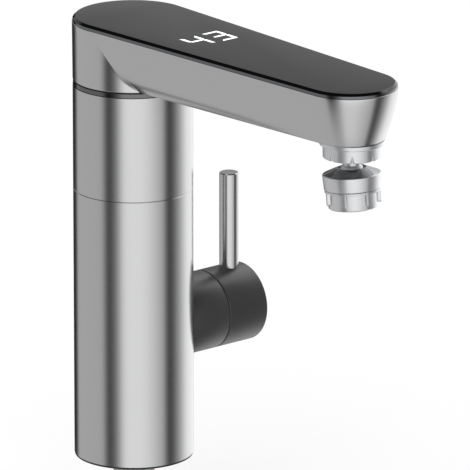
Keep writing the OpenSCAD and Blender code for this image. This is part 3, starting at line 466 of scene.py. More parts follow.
FINISHES: dict[str, Finish] = {
    "satin_steel": BeltPolishedSteel(),
    "dark_ring": BlackNickelPlate(),
    "black_paint": BakedSatinPaint(),
    "panel_glass": BackPaintedGlass(),
    "lit_figures": LitWindow(),
    "chrome": ChromedBrass(),
    "inner_steel": RolledSteel(),
    "fasteners": ZincPlate(),
    "brass": TurnedBrass(),
    "element_sheath": AnnealedCopper(),
    "rubber": PressedRubber(),
    "dark_plastic": MouldedNylon(),
    "pale_plastic": MouldedAcetal(),
    "circuit_board": MaskedBoard(),
}

# Nodes of a shared slot that are worked in a way of their own
OWN_FINISHES: dict[str, Finish] = {
    "lever_rod": GroundSteelBar(),
    "swivel_ring": DarkenedSteel(),
    "swivel_cap": TurnedChrome(),
}


class Wardrobe:
    """Holds one material per slot of the record, and dresses nodes and pieces in them."""

    def __init__(self, frame: dict) -> None:
        """Builds every material.
        """
        self.frame = frame
        self.materials = {slot: look.material(slot) for slot, look in FINISHES.items()}
        self.own = {node: look.material(f"{node}_finish") for node, look in OWN_FINISHES.items()}

    def dress_nodes(self) -> int:
        """Gives each construction node its slot's material.

        Returns:
            The number of nodes dressed.
        """
        rows = self.frame["record"]["subparts"]
        for row in rows:
            for slot in self.frame["nodes"][row["node"]].material_slots:
                slot.material = self.own.get(row["node"], self.materials[row["material_slot"]])
        return len(rows)

    def hand_over(
        self, piece: Piece, slot: str, body: str, node: str, *looks: bpy.types.Material
    ) -> None:
        """Dresses a new piece, sets it on its body and lets it stand for its node.

        Args:
            piece: The piece.
            slot: The slot that it takes its finish from.
            body: The body that it rides on.
            node: The construction node that it replaces.
            *looks: Its materials, where the slot's alone won't do.
        """
        for look in looks or (self.materials[slot],):
            piece.data.materials.append(look)
        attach(piece, body)
        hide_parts(node)
        log.info("%s: %d faces", piece.name, len(piece.data.polygons))


@dataclass
class Assembly:
    """A sub-assembly, which dresses its pieces from the wardrobe as it builds them."""

    wardrobe: Wardrobe

    def build(self) -> None:
        """Builds and dresses the pieces."""
        raise NotImplementedError


# --- Mesh tools ---


def around(r: float, angle: float) -> Flat:
    """Returns the point at a radius from the axis and an angle in radians."""
    return r * math.cos(angle), r * math.sin(angle)


@dataclass
class Shape:
    """A mesh in the making: points in millimetres and faces by their numbers."""

    points: list[Point] = field(default_factory=list)
    faces: list[tuple[int, ...]] = field(default_factory=list)

    def row(self, points: list[Point]) -> list[int]:
        """Adds a row of points and returns their numbers."""
        self.points += points
        return list(range(len(self.points) - len(points), len(self.points)))

    def bridge(self, low: list[int], high: list[int], closed: bool = True) -> None:
        """Joins two rows of equal length by a band of faces.

        Args:
            low: Numbers of the first row, counter-clockwise seen from the second.
            high: Numbers of the second row.
            closed: Whether the band runs all round.
        """
        count = len(low)
        for i in range(count if closed else count - 1):
            j = (i + 1) % count
            self.faces.append((low[i], low[j], high[j], high[i]))

    def wrap(self, rows: list[list[Point]]) -> list[list[int]]:
        """Adds closed rows and joins each to the next.

        Args:
            rows: Rows of the same number of points, counter-clockwise seen from above.

        Returns:
            The numbers of each row.
        """
        numbers = [self.row(points) for points in rows]
        for low, high in zip(numbers, numbers[1:]):
            self.bridge(low, high)
        return numbers

    def loft(self, rows: list[list[Point]]) -> "Shape":
        """Joins closed rows into a solid.

        Args:
            rows: The rows, as wrap() takes them.

        Returns:
            The shape itself.
        """
        numbers = self.wrap(rows)
        self.faces += [tuple(reversed(numbers[0])), tuple(numbers[-1])]
        return self

    def moved(self, by: Matrix) -> "Shape":
        """Returns a copy, moved or turned by a matrix in millimetres."""
        return Shape([tuple(by @ Vector(p)) for p in self.points], list(self.faces))

    def piece(self, name: str, sharp: float = CRISP) -> Piece:
        """Makes the Blender object.

        Args:
            name: The piece's name.
            sharp: Edges that fold by more than this angle in degrees stay crisp.

        Returns:
            The object, in metres, with merged points and outward faces.
        """
        mesh = bpy.data.meshes.new(name)
        mesh.from_pydata([tuple(MM * v for v in p) for p in self.points], [], self.faces)
        made = bpy.data.objects.new(name, mesh)
        bpy.context.collection.objects.link(made)
        clean(made, sharp)
        return made


def clean(piece: Piece, sharp: float) -> None:
    """Merges double points, drops faces without area, turns faces outward and smooths them.

    Args:
        piece: The piece.
        sharp: Edges that fold by more than this angle in degrees stay crisp.
    """
    work = bmesh.new()
    work.from_mesh(piece.data)
    bmesh.ops.remove_doubles(work, verts=work.verts, dist=MERGED * MM)
    bmesh.ops.dissolve_degenerate(work, edges=work.edges, dist=SLIVER * MM)
    bmesh.ops.recalc_face_normals(work, faces=work.faces)
    work.to_mesh(piece.data)
    work.free()
    crisp(piece, sharp)


def crisp(piece: Piece, sharp: float) -> None:
    """Smooths a piece's faces and keeps the edges above an angle in degrees crisp."""
    piece.data.shade_smooth()
    piece.data.set_sharp_from_angle(angle=math.radians(sharp))


def cut(piece: Piece, room: Shape, sharp: float = CRISP) -> None:
    """Cuts a shape's room out of a piece.

    Args:
        piece: The solid that changes.
        room: The closed shape to cut away.
        sharp: Edges that fold by more than this angle in degrees stay crisp.
    """
    cutter = room.piece("cutter")
    step = piece.modifiers.new("cut", "BOOLEAN")
    step.operation, step.solver, step.object = "DIFFERENCE", "EXACT", cutter
    ready = piece.evaluated_get(bpy.context.evaluated_depsgraph_get())
    mesh = bpy.data.meshes.new_from_object(ready)
    piece.modifiers.clear()
    piece.data = mesh
    bpy.data.objects.remove(cutter)
    clean(piece, sharp)


def eased(corners: list[Flat], steps: int) -> list[Flat]:
    """Rounds the corners of a closed profile.

    Args:
        corners: Each corner's radius and height and, where it is rounded, by what radius.
        steps: Short sides that a rounding is drawn with.

    Returns:
        The profile's points.
    """
    points: list[Flat] = []
    spots = [Vector(corner[:2]) for corner in corners]
    for i, (corner, here) in enumerate(zip(corners, spots)):
        if len(corner) == 2:
            points.append(corner)
            continue
        to_back = (spots[i - 1] - here).normalized()
        to_on = (spots[(i + 1) % len(spots)] - here).normalized()
        half, ease = to_back.angle(to_on) / 2, corner[2]
        reach = ease / math.tan(half)
        middle = here + (to_back + to_on).normalized() * ease / math.sin(half)
        start, end = here + to_back * reach - middle, here + to_on * reach - middle
        swing = math.pi - 2 * half
        for k in range(steps + 1):
            first, last = (math.sin(share * swing) for share in (1 - k / steps, k / steps))
            points.append(tuple(middle + (start * first + end * last) / math.sin(swing)))
    return points


def turned(corners: list[Flat], sides: int = 96, steps: int = 5) -> Shape:
    """Turns a closed profile round the upright axis.

    Args:
        corners: The profile as eased() takes it, with a zero radius where it meets the axis.
        sides: Sides that a full turn is drawn with.
        steps: Short sides of each rounding.

    Returns:
        The closed shape.
    """
    shape = Shape()
    profile = eased(corners, steps)
    angles = [math.tau * k / sides for k in range(sides)]
    rows = [shape.row([(*around(r, a), z) for a in angles]) for r, z in profile]
    for i, row in enumerate(rows):
        following = (i + 1) % len(rows)
        if profile[i][0] or profile[following][0]:
            shape.bridge(row, rows[following])
    return shape


def together(shapes: list[Shape]) -> Shape:
    """Gathers several shapes into one.

    Args:
        shapes: Closed shapes that don't touch each other.

    Returns:
        One shape with all their points and faces.
    """
    whole = Shape()
    for shape in shapes:
        first = len(whole.points)
        whole.points.extend(shape.points)
        whole.faces.extend(tuple(first + n for n in face) for face in shape.faces)
    return whole


def bore(r: float, low: float, high: float, at: Flat = (0.0, 0.0), sides: int = 64) -> Shape:
    """Draws the room of an upright bore.

    Args:
        r: Its radius.
        low: Height of its lower end.
        high: Height of its upper end.
        at: X and Y of its axis.
        sides: Sides that a full turn is drawn with.

    Returns:
        The closed shape.
    """
    rod = turned([(0, low), (r, low), (r, high), (0, high)], sides)
    return rod.moved(Matrix.Translation((*at, 0)))


# --- Lit figures ---


class Stroke(Enum):
    """The strokes of a figure, as mirrored copies of a drawn one: its name, then X and Y sign."""

    TOP = ("bar", 1, 1)
    BOTTOM = ("bar", 1, -1)
    UPPER_RIGHT = ("side", 1, 1)
    LOWER_RIGHT = ("side", 1, -1)
    UPPER_LEFT = ("side", -1, 1)
    MIDDLE = ("middle", 1, 1)


FOUR = (Stroke.UPPER_LEFT, Stroke.UPPER_RIGHT, Stroke.MIDDLE, Stroke.LOWER_RIGHT)
THREE = (Stroke.TOP, Stroke.UPPER_RIGHT, Stroke.MIDDLE, Stroke.LOWER_RIGHT, Stroke.BOTTOM)


@dataclass(frozen=True)
class Figures:
    """The lit temperature: two figures of mitred strokes with hairline gaps between them."""

    middle_y: float = -58.3
    height: float = 16.2
    width: float = 9.9
    pitch: float = 14.4
    shift: float = -0.25
    stroke: float = 1.7
    gap: float = 0.1
    depth: float = 0.2

    def outline(self, stroke: Stroke) -> list[Flat]:
        """Draws one stroke round the figure's middle.

        Args:
            stroke: Which stroke.

        Returns:
            Its corners, counter-clockwise.
        """
        x, y, s, g = self.width / 2, self.height / 2, self.stroke, self.gap
        right, left = x - s - g, s + g - x
        drawn = {
            "bar": [(x - g, y), (g - x, y), (left, y - s), (right, y - s)],
            "side": [
                (x - s / 2, g), (x, g + s / 2), (x, y - g), (x - s, y - g - s), (x - s, g + s / 2)
            ],
            "middle": [
                (right + s / 2, 0), (right, s / 2), (left, s / 2),
                (left - s / 2, 0), (left, -s / 2), (right, -s / 2),
            ],
        }
        name, across, up = stroke.value
        corners = [(across * px, up * py) for px, py in drawn[name]]
        return corners if across * up > 0 else corners[::-1]

    def shape(self, low: float, high: float) -> Shape:
        """Draws both figures as upright blocks.

        Args:
            low: Height of their underside.
            high: Height of their top.

        Returns:
            The closed shape.
        """
        blocks = []
        for lit, x in ((FOUR, self.shift - self.pitch / 2), (THREE, self.shift + self.pitch / 2)):
            for stroke in lit:
                corners = [(x + px, self.middle_y + py) for px, py in self.outline(stroke)]
                blocks.append(Shape().loft([[(*p, z) for p in corners] for z in (low, high)]))
        return together(blocks)


# --- Spout ---


@dataclass
class Spout(Assembly):
    """The cast spout: round head, tapering arm with drawn-in sides, and the panel on top."""

    head_z: float = 195.3  # Underside of the round head
    arm_low: float = 199.0  # Underside of the arm at its tip
    arm_top: float = 224.8
    reach: float = 162.87  # From the column's axis to the middle of the round end
    head_r: float = 30.0
    head_flare: float = 0.2  # How much wider the head is at its top
    side_low: float = 22.4  # The arm's half width at the column, below and above
    side_high: float = 30.0
    side_bulge: float = 1.75  # Power of the curve between the two
    belly_cut: float = 4.4  # How far its sides draw in at the head, and over what height
    belly_h: float = 7.5
    tip_low: float = 17.0  # Radius of the round end, below and above
    tip_high: float = 23.5
    tip_bulge: float = 1.5  # Power of the curve between the two
    wall: float = 2.0
    head_floor: float = 3.0  # Thickness of the head's floor
    head_rim: float = 1.0  # How far under the arm's top the head's room ends
    arm_floor: float = 2.5  # Thickness of the arm's floor
    sleeve_hole_r: float = 17.1
    outlet: Flat = (0.0, -164.57)
    outlet_hole_r: float = 9.1
    seat_r: float = 16.0  # Flat seat round the outlet fitting
    edge_ease: float = 0.35
    trim_head_r: float = 29.9  # The glass's outline at the head and at the tip
    trim_tip_r: float = 23.2
    glass_z: float = 226.1  # Underside of the glass
    glass_h: float = 1.3
    glass_edge: float = 1.3  # Width of its bevel
    glass_ease: float = 0.18  # Rounding of its upper edge
    glass_foot: float = 0.05  # Bevel of its lower edge
    plug_inset: float = 3.1  # The plug under it, which sits in the trim frame
    plug_h: float = 1.1
    crowding: float = 1.5  # Above 1, more of the levels lie near the underside
    levels: int = 26
    ease_steps: int = 5
    back_points: int = 72
    side_points: int = 30
    tip_points: int = 40
    figures: Figures = Figures()

    def up(self, z: float) -> float:
        """Returns a height as a share of the arm's."""
        return (z - self.arm_low) / (self.arm_top - self.arm_low)

    def head_radius(self, z: float) -> float:
        """Returns the head's radius at a height; it widens slightly upward."""
        return self.head_r + self.head_flare * (z - self.head_z) / (self.arm_top - self.head_z)

    def side_half(self, z: float) -> float:
        """Finds how far the arm's sides stand out.

        Args:
            z: A height at the column's axis.

        Returns:
            The arm's half width there.
        """
        share = 1 - (1 - self.up(z)) ** self.side_bulge
        belly = max(0.0, 1 - (z - self.head_z) / self.belly_h)
        wide = self.side_low + (self.side_high - self.side_low) * share
        return wide - self.belly_cut * belly**2

    def tip_half(self, z: float) -> float:
        """Returns the radius of the arm's round end, at a height there."""
        share = 1 - (1 - self.up(z)) ** self.tip_bulge
        return self.tip_low + (self.tip_high - self.tip_low) * share

    def crossing(self, head: float, arm: float, tip: float) -> tuple[Vector, Vector, float]:
        """Finds where the arm's right side leaves the head.

        Args:
            head: The head's radius.
            arm: The arm's half width at the head's centre.
            tip: The radius of the arm's round end.

        Returns:
            The point, the outward direction of that side, and the side's lean in radians.
        """
        lean = math.asin((arm - tip) / self.reach)
        outward = Vector((math.cos(lean), -math.sin(lean)))
        along = Vector((-math.sin(lean), -math.cos(lean)))
        return outward * arm + along * math.sqrt(max(head**2 - arm**2, 0.0)), outward, lean

    def outline(
        self, head: float, arm: float, tip: float, head_z: float, tip_z: float
    ) -> list[Point]:
        """Draws the head and arm as one closed row.

        Args:
            head: The head's radius.
            arm: The arm's half width at the head's centre.
            tip: The radius of the arm's round end.
            head_z: The row's height round the head.
            tip_z: Its height round the tip.

        Returns:
            Its points, counter-clockwise from the arm's right side.
        """
        start, outward, lean = self.crossing(head, arm, tip)
        centre = Vector((0, -self.reach))
        end = centre + outward * tip
        mirror = Matrix(((-1, 0), (0, 1)))
        along = [k / self.side_points for k in range(1, self.side_points)]
        first = math.atan2(start.y, start.x)
        back = [
            around(head, first + (math.pi - 2 * first) * k / self.back_points)
            for k in range(self.back_points + 1)
        ]
        front = [
            around(tip, math.pi + lean + (math.pi - 2 * lean) * k / self.tip_points)
            for k in range(self.tip_points + 1)
        ]
        flat = back + [(mirror @ start).lerp(mirror @ end, share) for share in along]
        flat += [(x, y - self.reach) for x, y in front]
        flat += [end.lerp(start, share) for share in along]
        run = self.reach + start.y
        return [
            (x, y, head_z + (tip_z - head_z) * min(max((start.y - y) / run, 0.0), 1.0))
            for x, y in flat
        ]

    def level(self, head_z: float, tip_z: float, inset: float = 0.0) -> list[Point]:
        """Draws one row of the casting's sides.

        Args:
            head_z: The row's height round the head.
            tip_z: Its height round the tip.
            inset: How far it is drawn in.

        Returns:
            The row's points.
        """
        head = self.head_radius(head_z) - inset
        arm = min(self.side_half(head_z) - inset, head)
        return self.outline(head, arm, self.tip_half(tip_z) - inset, head_z, tip_z)

    def casting(self) -> None:
        """Builds the hollow casting with its crescent crease and its round belly."""
        ease, top = self.edge_ease, self.arm_top
        turns = [math.pi / 2 * k / self.ease_steps for k in range(self.ease_steps + 1)]
        rows = []
        for turn in turns:
            rise, inset = ease * (1 - math.cos(turn)), ease * (1 - math.sin(turn))
            rows.append(self.level(self.head_z + rise, self.arm_low + rise, inset))
        for k in range(2, self.levels):
            share = (k / self.levels) ** self.crowding
            ends = (low + (top - low) * share for low in (self.head_z, self.arm_low))
            rows.append(self.level(*ends))
        for turn in turns:
            z = top - ease * (1 - math.sin(turn))
            rows.append(self.level(z, z, ease * (1 - math.cos(turn))))
        shape = Shape()
        numbers = shape.wrap(rows)
        shape.faces.append(tuple(numbers[-1]))
        self.underside(shape, numbers[0])
        casting = shape.piece("spout_casting")
        cut(casting, self.hollow())
        for room in self.rooms():
            cut(casting, room, sharp=24.0)
        self.mark_crease(casting)
        self.wardrobe.hand_over(casting, "satin_steel", "spout", "spout_shell")

    def rooms(self) -> list[Shape]:
        """Draws the bores of the casting.

        Returns:
            The rooms of the swivel sleeve, the round head, the outlet fitting and its seat.
        """
        floor, under = self.head_z + self.head_floor, self.arm_low + self.arm_floor
        return [
            bore(self.sleeve_hole_r, self.head_z - PAST, floor + PAST, sides=72),
            bore(self.head_r - self.wall, floor, self.arm_top - self.head_rim, sides=120),
            bore(self.outlet_hole_r, self.arm_low - PAST, under + PAST, self.outlet),
            bore(self.seat_r, self.head_z, self.arm_low, self.outlet, sides=96),
        ]

    def underside(self, shape: Shape, row: list[int]) -> None:
        """Closes the casting's lowest row: the flat head, the sloping arm and the flat tip.

        Args:
            shape: The shape that takes the faces.
            row: The row's numbers, as outline() orders them.
        """
        left, right = self.back_points, len(row)
        tip = left + self.side_points
        shape.faces.append(tuple(reversed(row[: left + 1])))
        for k in range(self.side_points):
            near, far = row[(right - k) % right], row[right - k - 1]
            shape.faces.append((near, far, row[left + k + 1], row[left + k]))
        shape.faces.append(tuple(reversed(row[tip : tip + self.tip_points + 1])))

    def hollow(self, steps: int = 6) -> Shape:
        """Draws the room inside the casting, open at the top.

        Args:
            steps: Bands that its sides are drawn with.

        Returns:
            The closed shape.
        """
        low = self.arm_low + self.arm_floor
        heights = [low + (self.arm_top - low) * k / steps for k in range(steps + 1)]
        rows = [self.level(z, z, self.wall) for z in heights]
        rows.append([(x, y, z + PAST) for x, y, z in rows[-1]])
        return Shape().loft(rows)

    def mark_crease(self, casting: Piece) -> None:
        """Keeps the edge crisp where the arm's sides leave the round head.

        Args:
            casting: The piece.
        """
        marked = []
        for vertex in casting.data.vertices:
            x, y, z = vertex.co / MM
            share = (z - self.head_z) / (self.arm_top - self.head_z)
            tip_z = self.arm_low + (self.arm_top - self.arm_low) * share
            on_side = self.head_z + self.edge_ease - NEAR < z < self.arm_top - self.edge_ease
            if on_side:
                sizes = self.head_radius(z), self.side_half(z), self.tip_half(tip_z)
                start = self.crossing(*sizes)[0]
                on_side = math.hypot(abs(x) - start.x, y - start.y) < NEAR
            marked.append(on_side)
        crease = [e for e in casting.data.edges if all(marked[v] for v in e.vertices)]
        for edge in crease:
            edge.use_edge_sharp = True
        log.info("crescent crease: %d edges", len(crease))

    def glass(self) -> None:
        """Builds the bevelled glass, and the lit figures in its pockets."""
        low, edge, ease = self.glass_z, self.glass_edge, self.glass_ease
        top = low + self.glass_h
        # How far each row is drawn in, and its height
        steps = (
            (self.plug_inset, low - self.plug_h),
            (self.plug_inset, low),
            (self.glass_foot, low),
            (0.0, low + self.glass_foot),
            (edge - ease, top - ease * 0.95),
            (edge - ease * 0.4, top - ease * 0.4),
            (edge + ease * 0.15, top - ease * 0.1),
            (edge + ease, top),
        )
        head, tip = self.trim_head_r, self.trim_tip_r
        rows = [self.outline(head - i, head - i, tip - i, z, z) for i, z in steps]
        glass = Shape().loft(rows).piece("panel_glass_top", sharp=18.0)
        pocket = top - self.figures.depth
        cut(glass, self.figures.shape(pocket, top + PAST), sharp=18.0)
        self.wardrobe.hand_over(glass, "panel_glass", "spout", "top_panel")
        strokes = self.figures.shape(pocket, top).piece("lit_figure_strokes")
        self.wardrobe.hand_over(strokes, "lit_figures", "spout", "display_figures")

    def build(self) -> None:
        """Builds and dresses the spout's pieces."""
        self.casting()
        self.glass()


# --- Swivel ring ---


@dataclass
class SwivelRing(Assembly):
    """The bearing ring between column and head: polished flank between two recesses painted black
    as painted shade.
    """

    low: float = 192.3
    high: float = 195.0
    r: float = 29.85
    # Height and depth of the two recesses, whose faces are painted black as shade
    line_h: float = 0.35
    line_d: float = 0.3
    bore_r: float = 14.2
    skirt_low: float = 191.0
    skirt_in_r: float = 24.2
    skirt_out_r: float = 28.7
    stop_r: float = 23.0
    stop_half_w: float = 1.8
    stop_depth: float = 1.8
    swing: float = 220.0

    def build(self) -> None:
        """Builds the ring with its skirt and stop groove, and paints its recesses black as painted
        shade.
        """
        floor, low, high = self.r - self.line_d, self.low, self.high
        flank = (low + self.line_h, high - self.line_h)
        corners = [
            (self.bore_r, low), (self.skirt_in_r, low), (self.skirt_in_r, self.skirt_low),
            (self.skirt_out_r, self.skirt_low), (self.skirt_out_r, low), (floor, low),
            (floor, flank[0]), (self.r, flank[0]), (self.r, flank[1]), (floor, flank[1]),
            (floor, high), (self.bore_r, high),
        ]
        ring = turned(corners, sides=180).piece("bearing_ring")
        cut(ring, self.stop_groove())
        # Painted shade: the rubber slot's black on the recess and flat faces stands for the dark of
        # the deep gaps, not a seal
        looks = self.wardrobe.own["swivel_ring"], self.wardrobe.materials["rubber"]
        self.wardrobe.hand_over(ring, "dark_ring", "root", "swivel_ring", *looks)
        for face in ring.data.polygons:
            x, y, _ = face.center / MM
            deep, flat = math.hypot(x, y) < self.r - self.line_d / 4, abs(face.normal.z) > 0.5
            face.material_index = int(deep or flat)

    def stop_groove(self, steps: int = 72) -> Shape:
        """Draws the room of the stop pin's path, open at the top.

        Args:
            steps: Straight lengths that the path is drawn with.

        Returns:
            The closed shape.
        """
        pin = 2 * math.degrees(math.asin(self.stop_half_w / self.stop_r))
        span = math.radians(self.swing + pin)
        low, high = self.high - self.stop_depth, self.high + PAST
        inner, outer = self.stop_r - self.stop_half_w, self.stop_r + self.stop_half_w
        section = ((inner, low), (outer, low), (outer, high), (inner, high))
        turns = [math.pi / 2 - span / 2 + span * k / steps for k in range(steps + 1)]
        return Shape().loft([[(*around(r, a), z) for r, z in section] for a in turns])


# --- Knob ---


@dataclass
class SideKnob(Assembly):
    """The knob on the column's side: a fixed collar and a turning cap with the lever's hole.

    Places along it are measured from the column's axis, and heights of the lever from its own.
    """

    axis_z: float = 65.6
    r: float = 20.0
    collar_end: float = 46.4
    cap_start: float = 46.9
    cap_end: float = 71.65
    edge: float = 0.8
    collar_ease: float = 0.35
    cap_ease: float = 0.6
    inner_r: float = 17.0
    web_low: float = 33.0  # The collar's web, and the radius of the hole in it
    web_top: float = 35.0
    neck_r: float = 7.1
    hollow: float = 5.1  # Depth of the cap's hollow
    saddle_r: float = 30.05  # The collar where it lies on the column
    saddle_ease: float = 1.0
    lever_x: float = 62.9  # The lever's bore, and the height of its seat
    lever_r: float = 4.95
    lever_seat: float = 8.0
    rod_r: float = 4.9
    rod_h: float = 68.9  # Height of the rod's top
    rod_edge: float = 0.4
    screw_x: float = 56.0  # The grub screw's bore
    screw_r: float = 2.0
    stem_r: float = 4.05  # The stem's bore
    stem_end: float = 62.9
    hub_r: float = 8.0  # The hub, and how far it reaches into the collar
    hub_reach: float = 5.9
    sides: int = 128

    def along_x(self) -> Matrix:
        """Returns the matrix that lays an upright shape along the knob's axis."""
        return Matrix.Translation((0, 0, self.axis_z)) @ Matrix.Rotation(math.pi / 2, 4, "Y")

    def collar(self) -> None:
        """Builds the collar, saddled to the column."""
        inner, neck = self.inner_r, self.neck_r
        corners = [
            (inner, 0), (self.r, 0), (self.r, self.collar_end, self.collar_ease),
            (inner, self.collar_end), (inner, self.web_top), (neck, self.web_top),
            (neck, self.web_low), (inner, self.web_low),
        ]
        collar = turned(corners, self.sides).moved(self.along_x()).piece("knob_collar_ring")
        cut(collar, bore(self.saddle_r, 0, self.axis_z + self.r + PAST, sides=240))
        self.ease_saddle(collar)
        self.wardrobe.hand_over(collar, "black_paint", "root", "knob_collar")

    def ease_saddle(self, collar: Piece) -> None:
        """Bevels the collar's outer edge along the column, where it catches a line of light.

        Args:
            collar: The collar's piece.
        """
        work = bmesh.new()
        work.from_mesh(collar.data)
        bmesh.ops.remove_doubles(work, verts=work.verts, dist=0.005 * MM)
        on_edge = set()
        for vertex in work.verts:
            x, y, z = vertex.co / MM
            off_column = abs(math.hypot(x, y) - self.saddle_r)
            if max(off_column, abs(math.hypot(y, z - self.axis_z) - self.r)) < NEAR:
                on_edge.add(vertex)
        edges = [edge for edge in work.edges if on_edge.issuperset(edge.verts)]
        how = {"offset_type": "OFFSET", "segments": 2, "profile": 0.5, "affect": "EDGES"}
        bmesh.ops.bevel(work, geom=edges, offset=self.saddle_ease * MM, clamp_overlap=True, **how)
        work.to_mesh(collar.data)
        work.free()
        crisp(collar, CRISP)
        log.info("saddle edge: %d edges eased", len(edges))

    def cap(self) -> None:
        """Builds the turning cap with its hollow and holes."""
        start, end, middle = self.cap_start, self.cap_end, self.axis_z
        hub, floor = start - self.hub_reach, start + self.hollow
        corners = [
            (self.stem_r, hub), (self.hub_r, hub), (self.hub_r, floor),
            (self.inner_r, floor), (self.inner_r, start), (self.r, start, self.cap_ease),
            (self.r, end, self.edge), (0, end), (0, self.stem_end), (self.stem_r, self.stem_end),
        ]
        cap = turned(corners, self.sides, steps=7).moved(self.along_x()).piece("knob_turning_cap")
        out = self.r + PAST
        lever = bore(self.lever_r, middle + self.lever_seat, middle + out, (self.lever_x, 0))
        screw = bore(self.screw_r, middle - out, middle, (self.screw_x, 0), sides=32)
        cut(cap, together([lever, screw]))
        self.wardrobe.hand_over(cap, "black_paint", "handle", "knob_cap")

    def rod(self) -> None:
        """Builds the lever rod with its crisp chamfered top."""
        r, edge = self.rod_r, self.rod_edge
        low, top = self.axis_z + self.lever_seat, self.axis_z + self.rod_h
        corners = [(0, low), (r - edge, low), (r, low + edge), (r, top - edge), (r - edge, top)]
        shape = turned([*corners, (0, top)]).moved(Matrix.Translation((self.lever_x, 0, 0)))
        rod = shape.piece("polished_lever_rod", sharp=20.0)
        ground = self.wardrobe.own["lever_rod"]
        self.wardrobe.hand_over(rod, "satin_steel", "handle", "lever_rod", ground)

    def build(self) -> None:
        """Builds and dresses the knob's pieces."""
        self.rod()
        self.collar()
        self.cap()


# --- Outlet ---


